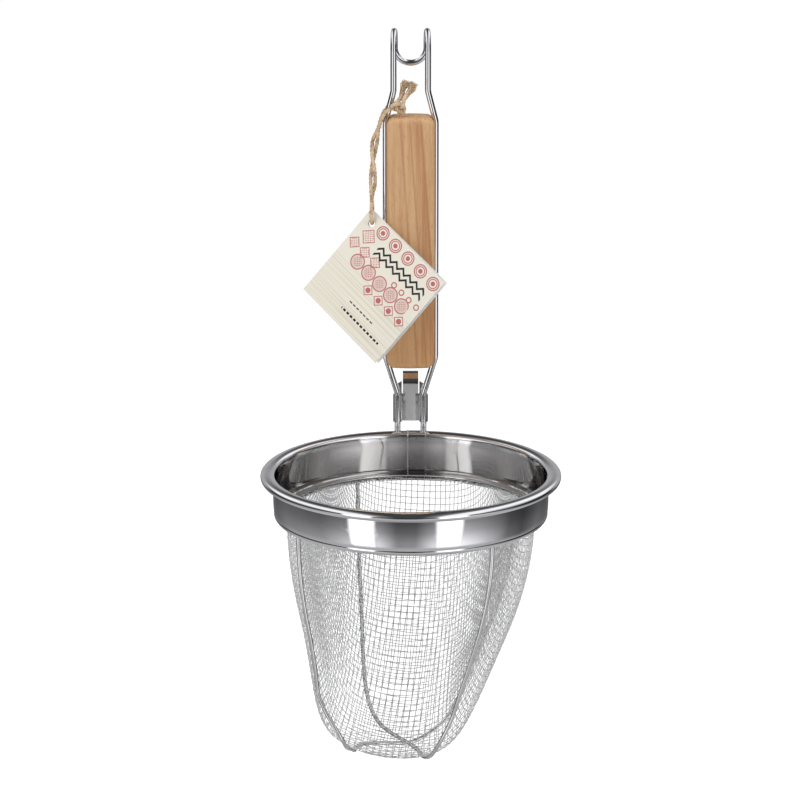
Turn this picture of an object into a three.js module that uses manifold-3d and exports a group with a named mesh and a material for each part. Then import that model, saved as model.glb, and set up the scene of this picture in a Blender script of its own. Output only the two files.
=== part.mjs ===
// Noodle strainer: a wire cloth basket in a steel rim, on a bent wire handle with a wooden grip.
// Millimetres, +Z up, the basket towards -Y. The origin is where the handle's hook hangs on a bar.

import * as THREE from "three";
import { mergeVertices } from "three/addons/utils/BufferGeometryUtils.js";
import Module from "manifold-3d";

const wasm = await Module();
wasm.setup();

// Clearances between pieces that touch on the real object
const seatGap = 0.3;
const sleeveGap = 0.2;
const ribTopGap = 0.5;

// Rim: radii from its axis, depths below the middle of its rolled bead
const rimDiameter = 140;
const beadDiameter = 4.2;
const beadCurl = 245;
const collarDiameter = 127.6;
const collarDepth = 20;
const collarSheet = 0.7;
const collarCorner = 2.3;
const clampRingThickness = 0.8;
const clampRingStep = 0.4;
const clampRingStepWidth = 2.6;
const hemWidth = 3.9;

// Basket: its wall runs down from the hem, turns in at the shoulder and the waist and round the
// heel to the floor. Its lower part leans to the left and forwards, and tilts with the lean.
// The insets are from the collar's outside to the wall at the mouth, the waist and the floor's edge.
const mouthInset = 6.5;
const shoulderDepth = 43.7;
const waistInset = 15.1;
const waistDepth = 70.6;
const heelReach = 2;
const floorInset = 26.6;
const basketDepth = 132.6;
const leanLeft = 12;
const leanForward = 2.4;
const leanPower = 1.73;
const leanTilt = 0.77;

// Wire cloth of the basket, drawn with fewer and thicker wires than the real weave
const netPitch = 13;
const netWire = 1.2;
const netTurn = -5;
const netRagged = 0.4;
const netLeastGap = 0.1;

// Ribs under the basket: the wire, the azimuths of each rib's ends, from the front towards +X, how far
// from the floor's middle it passes, and how far each of its sides sways round at the heel
const ribWire = 1.9;
const ribs = [
  { ends: [39, 206], miss: 14.2, sways: [-6, 0] },
  { ends: [-240, -62], miss: 11, sways: [0, 27] },
];
const ribDipFrom = 0.2;
const ribDipTo = 0.12;
const ribSwayFrom = 0.4;
const ribSwayTo = 0.21;
const ribSwayClear = 1.35;

// Handle: rod and heights above the bead's middle, depths behind the rim's axis
const rodDiameter = 2.9;
const handleSetback = 68;
const handleRise = 194.7;
const hookSpread = 16.2;
const hookBackSpread = 15;
const hookDepth = 16;
const hookDrop = 16.8;
const hookNeck = 27;
const gripSpread = 23.5;
const clipSpread = 12.4;
const rodBend = 8;
const jogBend = 3;
const jogHeight = 5.6;
const jogRun = 4.1;
const jogReturn = 4.5;
const weldDepth = 17;

// Wooden grip
const gripLength = 122.2;
const gripWidth = 22.6;
const gripThickness = 12.5;
const gripHeight = 33.9;
const gripCorner = 4;
const gripEdge = 2;
const gripEndBulge = 0.6;
const gripRodInset = 2.8;
const gripRodFoot = 4.3;

// Sheet steel clip under the grip
const clipSheet = 0.5;
const clipBottom = 6.6;
const clipHeight = 13.4;
const clipCurl = 255;
const channelWidth = 5.4;
const channelDepth = 1;
const channelBend = 0.8;
const tongueWidth = 7.4;
const tongueRise = 9.6;
const tongueReach = 10;
const tongueDrop = 8;
const earGap = 0.5;
const earHeight = 6;
const earSlant = 1.2;

// Folded tag, hung by the hole in its top corner
const tagSide = 51.7;
const tagCard = 0.4;
const tagFoldGap = 0.5;
const tagOpening = 3;
const tagYaw = 23.8;
const tagLean = 15.8;
const tagSkew = 1.7;
const tagHoleDiameter = 3.6;
const tagHoleInset = 7.2;
const tagHole = new THREE.Vector3(-18.5, 62, 105.2);

// Twine that carries the tag: a loop through its hole, whose two strands wind once round each other
const twineDiameter = 2;
const twineLoop = 4;
const twineLoopYaw = 5;
const twineStrandGap = 0.2;
const twineTwist = 360;
const knotTwine = 1.8;
const knotSize = 1.1;
const knotLift = 1.1;
const knotTwist = -37;
const knotOpening = 60;
const knotPlace = new THREE.Vector3(-5.5, 64.2, 161.2);
const knotTails = [new THREE.Vector3(-2.3, 64.7, 173.2), new THREE.Vector3(1.7, 63.7, 172.4)];

// Fineness of the faceted surfaces: counts of faces, and the angle that one face of a bend turns
const rimSteps = 48;
const bendStep = 22.5;
const sheetBendStep = 30;
const curlStep = 36;
const rodSides = 10;
const wireSides = 8;
const holeSides = 16;
const twineSteps = 84;
const ribSteps = 60;
const knotSteps = 44;
const knotTurns = 18;
const gripCornerSteps = 5;
const gripEdgeSteps = 3;
const normalStep = 1;
const mergeDistance = 1e-4;

const radians = THREE.MathUtils.degToRad;

const axisX = new THREE.Vector3(1, 0, 0);
const axisY = new THREE.Vector3(0, 1, 0);
const axisZ = new THREE.Vector3(0, 0, 1);

// Solids and geometry

// A closed solid of a geometry, with its shared corners merged
function solidOf(geometry) {
  const bare = geometry.clone();
  bare.deleteAttribute("normal");
  bare.deleteAttribute("uv");
  const merged = mergeVertices(bare, mergeDistance);
  const vertProperties = Float32Array.from(merged.attributes.position.array);
  const triVerts = Uint32Array.from(merged.index.array);
  return new wasm.Manifold(new wasm.Mesh({ numProp: 3, vertProperties, triVerts }));
}

function geometryOf(solid) {
  const mesh = solid.getMesh();
  const geometry = new THREE.BufferGeometry();
  geometry.setAttribute("position", new THREE.BufferAttribute(mesh.vertProperties, 3));
  geometry.setIndex(new THREE.BufferAttribute(mesh.triVerts, 1));
  return geometry;
}

// A path whose steps are the given points, so that a sweep is fine only where it bends
class StepPath extends THREE.Curve {
  constructor(points) {
    super();
    this.points = points;
  }

  getPoint(t, target = new THREE.Vector3()) {
    const last = this.points.length - 1;
    const index = Math.min(Math.floor(t * last), last - 1);
    return target.lerpVectors(this.points[index], this.points[index + 1], t * last - index);
  }

  getTangent(t, target = new THREE.Vector3()) {
    const last = this.points.length - 1;
    const index = Math.round(t * last);
    const before = this.points[Math.max(index - 1, 0)];
    const here = this.points[index];
    const after = this.points[Math.min(index + 1, last)];
    const arriving = here.clone().sub(before).normalize();
    const leaving = after.clone().sub(here).normalize();
    return target.addVectors(arriving, leaving).normalize();
  }

  getUtoTmapping(u) {
    return u;
  }
}

// Points of a rod through corners, each { at, radius }, with an arc at every corner
function bentRod(corners) {
  const points = [corners[0].at.clone()];
  for (let i = 1; i < corners.length - 1; i += 1) {
    const { at, radius } = corners[i];
    const arriving = at.clone().sub(corners[i - 1].at).normalize();
    const leaving = corners[i + 1].at.clone().sub(at).normalize();
    const turn = arriving.angleTo(leaving);
    const inward = leaving.clone().addScaledVector(arriving, -Math.cos(turn)).normalize();
    const start = at.clone().addScaledVector(arriving, -radius * Math.tan(turn / 2));
    const steps = Math.max(1, Math.ceil(turn / radians(bendStep)));
    for (let k = 0; k <= steps; k += 1) {
      const angle = (turn * k) / steps;
      const point = start.clone();
      point.addScaledVector(arriving, radius * Math.sin(angle));
      point.addScaledVector(inward, radius * (1 - Math.cos(angle)));
      points.push(point);
    }
  }
  points.push(corners[corners.length - 1].at.clone());
  return points;
}

function roundSection(diameter, sides) {
  const points = [];
  for (let i = 0; i < sides; i += 1) {
    const angle = (2 * Math.PI * i) / sides;
    points.push(new THREE.Vector2(Math.cos(angle), Math.sin(angle)).multiplyScalar(diameter / 2));
  }
  return new THREE.Shape(points);
}

function sweep(path, steps, diameter, sides) {
  const section = roundSection(diameter, sides);
  return new THREE.ExtrudeGeometry(section, { steps, extrudePath: path, bevelEnabled: false });
}

// Closed outline of bent sheet metal, whose middle follows the given points
function sheetOutline(middle, thickness) {
  const left = [];
  const right = [];
  middle.forEach((point, i) => {
    const before = middle[Math.max(i - 1, 0)];
    const after = middle[Math.min(i + 1, middle.length - 1)];
    const arriving = (i > 0 ? point.clone().sub(before) : after.clone().sub(point)).normalize();
    const leaving = (after !== point ? after.clone().sub(point) : arriving.clone()).normalize();
    const along = arriving.clone().add(leaving).normalize();
    const side = new THREE.Vector2(-along.y, along.x);
    const reach = thickness / 2 / along.dot(arriving);
    left.push(point.clone().addScaledVector(side, reach));
    right.push(point.clone().addScaledVector(side, -reach));
  });
  return [...right, ...left.reverse()];
}

// Points on an arc, from one angle to another, in degrees
function arcPoints(centre, radius, from, to, stepAngle) {
  const steps = Math.max(1, Math.round(Math.abs(to - from) / stepAngle));
  const points = [];
  for (let i = 0; i <= steps; i += 1) {
    const angle = radians(from + ((to - from) * i) / steps);
    points.push(new THREE.Vector2(Math.cos(angle), Math.sin(angle)).multiplyScalar(radius).add(centre));
  }
  return points;
}

// A closed outline of radius and height, turned round the rim's axis
function revolve(outline) {
  const geometry = new THREE.LatheGeometry([...outline, outline[0]], rimSteps);
  return geometry.rotateX(Math.PI / 2);
}

function extrude(outline, depth) {
  return new THREE.ExtrudeGeometry(new THREE.Shape(outline), { depth, bevelEnabled: false });
}

// Materials

function metal(color, roughness) {
  return new THREE.MeshStandardMaterial({ color, roughness, metalness: 1 });
}

function plain(color, roughness) {
  return new THREE.MeshStandardMaterial({ color, roughness, metalness: 0 });
}

const polishedSteel = metal(0xc9cacb, 0.16);
const brushedSteel = metal(0xb4b4b3, 0.32);
const clothSteel = metal(0xa9a8a5, 0.36);
const beech = plain(0xc79c6a, 0.6);
const card = plain(0xf3ead9, 0.8);
const jute = plain(0xc8a77d, 0.95);

const strainer = new THREE.Group();

function place(name, geometry, material, parent) {
  const mesh = new THREE.Mesh(geometry, material);
  mesh.name = name;
  parent.add(mesh);
  return mesh;
}

// Everything is drawn from the rim's axis and the bead's middle, then hung from the hook
const rodRadius = rodDiameter / 2;
const fromRim = new THREE.Group();
fromRim.position.set(0, -handleSetback - hookDepth / 2, rodRadius - handleRise);
strainer.add(fromRim);

// Rim collar: a sheet band, flanged at the foot, turned outwards at the top and rolled into a bead

const wallMiddle = (collarDiameter - collarSheet) / 2;
const wallInside = collarDiameter / 2 - collarSheet;
const mouthRadius = collarDiameter / 2 - mouthInset;
const waistRadius = collarDiameter / 2 - waistInset;
const floorRadius = collarDiameter / 2 - floorInset;
const flangeInside = mouthRadius + netWire / 2 + seatGap;
const flangeTop = collarSheet - collarDepth;

function collarOutline() {
  const curlRadius = (beadDiameter - collarSheet) / 2;
  const cornerRadius = collarCorner - collarSheet / 2;
  const flangeMiddle = flangeTop - collarSheet / 2;
  const cornerMiddle = new THREE.Vector2(wallMiddle - cornerRadius, flangeMiddle + cornerRadius);
  const turnMiddle = new THREE.Vector2(wallMiddle + curlRadius, 0);
  const beadMiddle = new THREE.Vector2((rimDiameter - beadDiameter) / 2, 0);
  return sheetOutline([
    new THREE.Vector2(flangeInside, flangeMiddle),
    ...arcPoints(cornerMiddle, cornerRadius, -90, 0, sheetBendStep),
    ...arcPoints(turnMiddle, curlRadius, 180, 90, sheetBendStep),
    ...arcPoints(beadMiddle, curlRadius, 90, 90 - beadCurl, curlStep),
  ], collarSheet);
}

place("rim_collar", revolve(collarOutline()), polishedSteel, fromRim);

// Mesh hem and the ring that clamps it on the flange

const hemHeight = flangeTop + seatGap + netWire / 2;
const ringBottom = hemHeight + netWire / 2 + seatGap;
const ringInside = mouthRadius - netWire / 2;
const ringOutside = wallInside - seatGap;

function clampRingOutline() {
  const low = ringBottom + clampRingThickness;
  const high = low + clampRingStep;
  const stepInside = ringOutside - clampRingStepWidth;
  return [
    new THREE.Vector2(ringInside, ringBottom),
    new THREE.Vector2(ringOutside, ringBottom),
    new THREE.Vector2(ringOutside, high),
    new THREE.Vector2(stepInside, high),
    new THREE.Vector2(stepInside - clampRingStep, low),
    new THREE.Vector2(ringInside, low),
  ];
}

place("mesh_clamp_ring", revolve(clampRingOutline()), polishedSteel, fromRim);

// Basket wall: a meridian from the hem to the middle of the floor, and the lean of the pressed cup

const mouth = new THREE.Vector2(mouthRadius, hemHeight);
const shoulder = new THREE.Vector2(mouthRadius, -shoulderDepth);
const waist = new THREE.Vector2(waistRadius, -waistDepth);
const heel = waist.clone().lerp(shoulder, -heelReach);
const floorEdge = new THREE.Vector2(floorRadius, -basketDepth);
const floorMiddle = new THREE.Vector2(0, -basketDepth);
const meridian = new THREE.CurvePath();
meridian.add(new THREE.QuadraticBezierCurve(mouth, shoulder, waist));
meridian.add(new THREE.CubicBezierCurve(waist, heel, floorEdge, floorMiddle));
const meridianLength = meridian.getLength();
const basketHeight = hemHeight + basketDepth;

function wallRadius(distance) {
  return meridian.getPoint(THREE.MathUtils.clamp(1 - distance / meridianLength, 0, 1)).x;
}

// Point at a distance along the wall from the floor's middle and an azimuth from the front
function onBasket(distance, azimuth) {
  const along = THREE.MathUtils.clamp(1 - distance / meridianLength, 0, 1);
  const { x: radius, y: height } = meridian.getPoint(along);
  const sunk = Math.max(hemHeight - height, 0) / basketHeight;
  const lean = sunk ** leanPower;
  const tilt = (leanTilt * leanLeft * leanPower * sunk ** (leanPower - 1)) / basketHeight;
  const right = radius * Math.sin(azimuth);
  const behind = -radius * Math.cos(azimuth);
  return new THREE.Vector3(right - leanLeft * lean, behind - leanForward * lean, height - tilt * right);
}

function outwardNormal(distance, azimuth) {
  const from = Math.max(distance, 2 * normalStep);
  const turn = normalStep / wallRadius(from);
  const upward = onBasket(from + normalStep, azimuth).sub(onBasket(from - normalStep, azimuth));
  const sideways = onBasket(from, azimuth + turn).sub(onBasket(from, azimuth - turn));
  return sideways.cross(upward).normalize();
}

// A flat square cloth pressed into the cup keeps its square gaps at the front, back and sides,
// and its wires crowd together at the four corners between them
function clothAzimuth(angle, distance) {
  const quarter = Math.round(angle / (Math.PI / 2)) * (Math.PI / 2);
  const corner = Math.PI / 4;
  const share = Math.abs(angle - quarter) / corner;
  const crowding = distance > 0 ? Math.max(distance / wallRadius(distance), 1) : 1;
  const squeezed = (share + 1 - (1 - share) ** (2 * crowding - 1)) / 2;
  return radians(netTurn) + quarter + Math.sign(angle - quarter) * corner * squeezed;
}

function onCloth(across, along) {
  const distance = Math.min(Math.hypot(across, along), meridianLength);
  const azimuth = clothAzimuth(Math.atan2(across, along), distance);
  return { point: onBasket(distance, azimuth), normal: outwardNormal(distance, azimuth) };
}

// The cloth as one lattice of four-sided bars: an outer and an inner ridge over each wire, and a gap
// in each cell. The cells at its edge end in the flat hem.
function netGeometry() {
  const half = Math.round(meridianLength / netPitch);
  const pitch = meridianLength / half;
  const bar = netWire / 2;
  const positions = [];
  const triangles = [];
  const add = (point) => positions.push(point.x, point.y, point.z) / 3 - 1;
  const quad = (a, b, c, d) => triangles.push(a, b, c, a, c, d);
  const hasCell = (i, j) => Math.hypot(i + 0.5, j + 0.5) * pitch < meridianLength - pitch * netRagged;
  const corners = new Map();

  function corner(i, j) {
    const key = `${i},${j}`;
    if (!corners.has(key)) {
      const whole = hasCell(i, j) && hasCell(i - 1, j) && hasCell(i, j - 1) && hasCell(i - 1, j - 1);
      const grow = whole ? 1 : meridianLength / (Math.hypot(i, j) * pitch);
      const { point, normal } = onCloth(i * pitch * grow, j * pitch * grow);
      const offset = normal.clone().multiplyScalar(bar);
      const found = { point };
      if (!whole) {
        offset.z -= bar;
        const away = normal.clone().multiplyScalar(hemWidth);
        found.hemTop = add(point.clone().add(away).addScaledVector(axisZ, bar));
        found.hemBottom = add(point.clone().add(away).addScaledVector(axisZ, -bar));
      }
      found.outer = add(point.clone().add(offset));
      found.inner = add(point.clone().sub(offset));
      corners.set(key, found);
    }
    return corners.get(key);
  }

  function distanceToSides(middle, around) {
    const line = new THREE.Line3();
    const nearest = new THREE.Vector3();
    return Math.min(...around.map((c, s) => {
      line.set(c.point, around[(s + 1) % 4].point);
      return line.closestPointToPoint(middle, true, nearest).distanceTo(middle);
    }));
  }

  for (let i = -half; i < half; i += 1) {
    for (let j = -half; j < half; j += 1) {
      if (!hasCell(i, j)) continue;
      const around = [corner(i, j), corner(i + 1, j), corner(i + 1, j + 1), corner(i, j + 1)];
      const beside = [hasCell(i, j - 1), hasCell(i + 1, j), hasCell(i, j + 1), hasCell(i - 1, j)];
      const middle = new THREE.Vector3();
      around.forEach((c) => middle.addScaledVector(c.point, 0.25));
      const inset = 1 - bar / distanceToSides(middle, around);
      const open = inset > netLeastGap;
      const gap = open ? around.map((c) => add(middle.clone().lerp(c.point, inset))) : [];
      around.forEach((a, s) => {
        const b = around[(s + 1) % 4];
        if (open) {
          quad(a.outer, b.outer, gap[(s + 1) % 4], gap[s]);
          quad(gap[s], gap[(s + 1) % 4], b.inner, a.inner);
        }
        if (!beside[s]) {
          quad(a.inner, b.inner, b.hemTop, a.hemTop);
          quad(a.hemTop, b.hemTop, b.hemBottom, a.hemBottom);
          quad(a.hemBottom, b.hemBottom, b.outer, a.outer);
        }
      });
      if (!open) {
        quad(...around.map((c) => c.outer));
        quad(...around.map((c) => c.inner).reverse());
      }
    }
  }
  const geometry = new THREE.BufferGeometry();
  geometry.setAttribute("position", new THREE.Float32BufferAttribute(positions, 3));
  geometry.setIndex(triangles);
  return geometry;
}

place("mesh_basket", netGeometry(), clothSteel, fromRim);

// Ribs: bent wires outside the cloth, from the flange down one side, under the floor and up the other

function ribPath({ ends: [from, to], miss, sways: [fromSway, toSway] }, order) {
  const offset = netWire / 2 + seatGap + ribWire / 2;
  const under = order * (ribWire + seatGap);
  const top = meridianLength - (collarDepth + ribTopGap + hemHeight);
  const { lerp, smoothstep } = THREE.MathUtils;
  const station = (end, way, sway, share) => {
    const distance = lerp(miss, top, share ** 2);
    const swing = (Math.asin((miss / distance) ** 2) * (to - from)) / Math.PI;
    const atHeel = 1 - smoothstep(distance / top, ribSwayTo, ribSwayFrom);
    const offMiddle = smoothstep(distance / miss, 1, ribSwayClear);
    const azimuth = radians(end + way * swing + sway * atHeel * offMiddle);
    const dip = 1 - smoothstep(distance / top, ribDipTo, ribDipFrom);
    const normal = outwardNormal(distance, azimuth);
    return onBasket(distance, azimuth).addScaledVector(normal, offset + under * dip);
  };
  const half = ribSteps / 2;
  const points = [];
  for (let i = 0; i < half; i += 1) points.push(station(from, 1, fromSway, 1 - i / half));
  for (let i = 0; i <= half; i += 1) points.push(station(to, -1, toSway, i / half));
  return new THREE.CatmullRomCurve3(points);
}

ribs.forEach((rib, order) => {
  const geometry = sweep(ribPath(rib, order), ribSteps, ribWire, wireSides);
  place(`rib_wire_${order + 1}`, geometry, brushedSteel, fromRim);
});

// Handle rod: up one side, over the hook and down the other, with its feet behind the bead

function handleCorners(side) {
  const x = (spread) => (side * spread) / 2;
  const gripTop = gripHeight + gripLength;
  const wallBehind = Math.sqrt((collarDiameter / 2) ** 2 - (clipSpread / 2) ** 2);
  const foot = wallBehind + rodRadius + seatGap;
  const behindBead = handleSetback + jogRun;
  const hookBack = handleSetback + hookDepth;
  const returnHeight = -jogReturn - (behindBead - foot);
  return [
    { at: new THREE.Vector3(x(clipSpread), foot, -weldDepth), radius: 0 },
    { at: new THREE.Vector3(x(clipSpread), foot, returnHeight), radius: jogBend },
    { at: new THREE.Vector3(x(clipSpread), behindBead, -jogReturn), radius: jogBend },
    { at: new THREE.Vector3(x(clipSpread), behindBead, jogHeight - jogRun), radius: jogBend },
    { at: new THREE.Vector3(x(clipSpread), handleSetback, jogHeight), radius: jogBend },
    { at: new THREE.Vector3(x(clipSpread), handleSetback, clipBottom + clipHeight + seatGap), radius: rodBend },
    { at: new THREE.Vector3(x(gripSpread), handleSetback, gripHeight + gripRodFoot), radius: rodBend },
    { at: new THREE.Vector3(x(gripSpread), handleSetback, gripTop - gripRodInset), radius: rodBend },
    { at: new THREE.Vector3(x(hookSpread), handleSetback, handleRise - hookNeck), radius: rodBend },
    { at: new THREE.Vector3(x(hookSpread), handleSetback, handleRise), radius: hookDepth / 2 },
    { at: new THREE.Vector3(x(hookBackSpread), hookBack, handleRise), radius: hookDepth / 2 },
    { at: new THREE.Vector3(x(hookBackSpread), hookBack, handleRise - hookDrop), radius: hookBackSpread / 2 },
  ];
}

const rodPoints = bentRod([...handleCorners(-1), ...handleCorners(1).reverse()]);
const sweepRod = (diameter) => sweep(new StepPath(rodPoints), rodPoints.length - 1, diameter, rodSides);

place("handle_wire", sweepRod(rodDiameter), polishedSteel, fromRim);

// Wooden grip: a block with rounded corners and edges, grooved for the rod

function gripGeometry() {
  const w = gripWidth / 2;
  const l = gripLength / 2;
  const r = gripCorner;
  const end = l - gripEndBulge;
  const outline = new THREE.Shape();
  outline.moveTo(w, -end + r);
  outline.lineTo(w, end - r);
  outline.absarc(w - r, end - r, r, 0, Math.PI / 2);
  outline.quadraticCurveTo(0, l + gripEndBulge, -w + r, end);
  outline.absarc(-w + r, end - r, r, Math.PI / 2, Math.PI);
  outline.lineTo(-w, -end + r);
  outline.absarc(-w + r, -end + r, r, Math.PI, Math.PI * 1.5);
  outline.quadraticCurveTo(0, -l - gripEndBulge, w - r, -end);
  outline.absarc(w - r, -end + r, r, Math.PI * 1.5, Math.PI * 2);
  const block = new THREE.ExtrudeGeometry(outline, {
    depth: gripThickness - 2 * gripEdge,
    bevelThickness: gripEdge,
    bevelSize: gripEdge,
    bevelOffset: -gripEdge,
    bevelSegments: gripEdgeSteps,
    curveSegments: gripCornerSteps,
  });
  block.rotateX(Math.PI / 2);
  block.translate(0, handleSetback + gripThickness / 2 - gripEdge, gripHeight + l);
  const groove = sweepRod(rodDiameter + 2 * seatGap);
  return geometryOf(solidOf(block).subtract(solidOf(groove)));
}

place("wooden_grip", gripGeometry(), beech, fromRim);

// Clip: sheet curled round both shanks, a channel between them, two ears and the pot hook's tongue

function clipGeometry() {
  const curlRadius = rodRadius + sleeveGap + clipSheet / 2;
  const rod = clipSpread / 2;
  const channel = channelWidth / 2;
  const rightHalf = [
    new THREE.Vector2(channel, curlRadius - channelDepth),
    new THREE.Vector2(channel + channelBend, curlRadius),
    ...arcPoints(new THREE.Vector2(rod, 0), curlRadius, 90, 90 - clipCurl, curlStep),
  ];
  const leftHalf = rightHalf.map((p) => new THREE.Vector2(-p.x, p.y)).reverse();
  const sleeves = extrude(sheetOutline([...leftHalf, ...rightHalf], clipSheet), clipHeight);
  sleeves.translate(0, handleSetback, clipBottom);

  const top = clipBottom + clipHeight;
  const tongueBack = handleSetback + curlRadius - channelDepth;
  const bow = tongueReach / 2;
  const tongueSide = sheetOutline([
    new THREE.Vector2(tongueBack, top - clipSheet),
    new THREE.Vector2(tongueBack, top + tongueRise - bow),
    ...arcPoints(new THREE.Vector2(tongueBack + bow, top + tongueRise - bow), bow, 180, 0, sheetBendStep).slice(1),
    new THREE.Vector2(tongueBack + tongueReach, top + tongueRise - bow - tongueDrop),
  ], clipSheet);
  const tongue = extrude(tongueSide, tongueWidth);
  tongue.applyMatrix4(new THREE.Matrix4().makeBasis(axisY, axisZ, axisX));
  tongue.translate(-tongueWidth / 2, 0, 0);

  const earInside = tongueWidth / 2 + earGap;
  const ear = (side) => {
    const outline = [
      new THREE.Vector2(side * earInside, top - clipSheet),
      new THREE.Vector2(side * rod, top - clipSheet),
      new THREE.Vector2(side * rod, top + earHeight - earSlant),
      new THREE.Vector2(side * earInside, top + earHeight),
    ];
    const plate = extrude(outline, clipSheet);
    plate.rotateX(Math.PI / 2);
    return plate.translate(0, handleSetback + curlRadius + clipSheet / 2, 0);
  };
  const pieces = [tongue, ear(-1), ear(1)];
  return geometryOf(pieces.reduce((whole, piece) => whole.add(solidOf(piece)), solidOf(sleeves)));
}

place("wire_clip", clipGeometry(), brushedSteel, fromRim);

// Tag: two leaves joined at a fold along the upper left side, hung from the hole at the fold's top.
// In the tag's own group X is across it, Y behind it and Z up, and the hole's front is the origin.

const tag = new THREE.Group();
tag.position.copy(tagHole);
tag.rotation.set(-radians(tagLean), -radians(tagSkew), -radians(tagYaw), "XZY");
fromRim.add(tag);

function tagGeometry() {
  const open = radians(tagOpening);
  const inner = tagCard + tagFoldGap;
  const section = [
    new THREE.Vector2(tagCard, 0),
    new THREE.Vector2(tagSide, 0),
    new THREE.Vector2(tagSide, tagCard),
    new THREE.Vector2(tagCard, tagCard),
    new THREE.Vector2(tagCard, inner),
    new THREE.Vector2(tagSide * Math.cos(open), inner + tagSide * Math.sin(open)),
    new THREE.Vector2(tagSide * Math.cos(open) - tagCard * Math.sin(open), inner + tagCard + tagSide * Math.sin(open)),
    new THREE.Vector2(tagCard, inner + tagCard),
    new THREE.Vector2(0, inner),
    new THREE.Vector2(0, tagCard),
  ];
  const leaves = extrude(section, tagSide);
  const acrossLeaf = new THREE.Vector3(1, 0, -1).normalize();
  const upFold = new THREE.Vector3(1, 0, 1).normalize();
  leaves.translate(0, 0, -tagSide);
  leaves.applyMatrix4(new THREE.Matrix4().makeBasis(acrossLeaf, axisY, upFold));
  leaves.translate(0, 0, tagHoleInset);
  const holeRadius = tagHoleDiameter / 2;
  const punch = new THREE.CylinderGeometry(holeRadius, holeRadius, 4 * inner, holeSides);
  return geometryOf(solidOf(leaves).subtract(solidOf(punch)));
}

place("tag_card", tagGeometry(), card, tag);

// Twine: from the knot in front of the left shank, down through the tag's hole and back up behind the shank

const loopMiddle = tagCard + tagFoldGap / 2;
const twineSeat = (tagHoleDiameter - twineDiameter) / 2 - 2 * seatGap;
const loopFoot = new THREE.Vector3(0, loopMiddle, twineSeat).applyEuler(tag.rotation).add(tagHole);
const loopTurn = new THREE.Euler(-radians(tagLean), 0, -radians(twineLoopYaw), "XZY");

function loopPoint(behind, up) {
  return new THREE.Vector3(0, behind, up).applyEuler(loopTurn).add(loopFoot);
}

// Middle line of the two strands, up from the tag
const strandMiddles = [
  new THREE.Vector3(-18.3, 63.9, 117),
  new THREE.Vector3(-17.8, 64.7, 124),
  new THREE.Vector3(-17.8, 65.4, 131),
  new THREE.Vector3(-17.5, 66.2, 138),
  new THREE.Vector3(-16.7, 66.9, 144.5),
  new THREE.Vector3(-15.2, 67.5, 150),
];

function strandPoints(side) {
  const apart = (twineDiameter + twineStrandGap) / 2;
  return strandMiddles.map((middle, i) => {
    const turn = radians((twineTwist * i) / (strandMiddles.length - 1));
    const aside = new THREE.Vector3(Math.sin(turn), Math.cos(turn), 0);
    return middle.clone().addScaledVector(aside, side * apart);
  });
}

const twineRoute = [
  new THREE.Vector3(-9.9, 64.2, 160.1),
  new THREE.Vector3(-12.2, 64.4, 157.8),
  new THREE.Vector3(-13.9, 65.2, 154.2),
  ...strandPoints(-1).reverse(),
  loopPoint(-twineLoop, twineLoop),
  loopPoint(-twineLoop * Math.SQRT1_2, twineLoop * (1 - Math.SQRT1_2)),
  loopPoint(0, 0),
  loopPoint(twineLoop * Math.SQRT1_2, twineLoop * (1 - Math.SQRT1_2)),
  loopPoint(twineLoop, twineLoop),
  ...strandPoints(1),
  new THREE.Vector3(-14, 69.9, 154),
  new THREE.Vector3(-12.6, 71, 157),
  new THREE.Vector3(-10.6, 71.6, 159.6),
  new THREE.Vector3(-8.9, 71.3, 160.8),
  new THREE.Vector3(-7.5, 70.3, 161.4),
  new THREE.Vector3(-6.6, 68.6, 161.6),
  new THREE.Vector3(-6.3, 66, 161.7),
];
const twinePath = new THREE.CatmullRomCurve3(twineRoute);

place("tag_twine", sweep(twinePath, twineSteps, twineDiameter, wireSides), jute, fromRim);

// Knot: an overhand knot above the grip, seen from the front, with its two frayed ends standing up

function knotPoints() {
  const turn = (t) => new THREE.Vector3(
    knotSize * (Math.sin(t) + 2 * Math.sin(2 * t)),
    -knotLift * Math.sin(3 * t),
    knotSize * (Math.cos(t) - 2 * Math.cos(2 * t)),
  ).applyAxisAngle(axisY, radians(knotTwist)).add(knotPlace);
  const points = [];
  for (let i = 1; i < knotTurns; i += 1) {
    points.push(turn(radians(knotOpening) + (2 * Math.PI * i) / knotTurns));
  }
  return [knotTails[0], ...points, knotTails[1]];
}

const knotPath = new THREE.CatmullRomCurve3(knotPoints());

place("twine_knot", sweep(knotPath, knotSteps, knotTwine, wireSides), jute, fromRim);

export default strainer;
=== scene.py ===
"""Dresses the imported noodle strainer: woven basket, steel rim, wire handle, beech grip, tag and twine."""

import math
import random
from functools import partialmethod, reduce

import bmesh
import bpy
import numpy as np
from mathutils import Matrix, Vector
from mathutils.geometry import interpolate_bezier


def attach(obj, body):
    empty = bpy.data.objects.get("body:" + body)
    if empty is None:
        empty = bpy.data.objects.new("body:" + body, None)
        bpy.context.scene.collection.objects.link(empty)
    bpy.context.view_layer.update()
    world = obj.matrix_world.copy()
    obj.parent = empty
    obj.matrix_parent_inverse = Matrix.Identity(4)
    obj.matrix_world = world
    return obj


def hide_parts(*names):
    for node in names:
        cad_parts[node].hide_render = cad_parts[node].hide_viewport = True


bl_info = {
    "name": "Noodle strainer",
    "version": (1, 0, 0),
    "blender": (4, 5, 0),
    "location": "3D View > Sidebar > Strainer",
    "description": "Builds the strainer's visible pieces and its studio around the packed model",
    "category": "Object",
}

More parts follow.
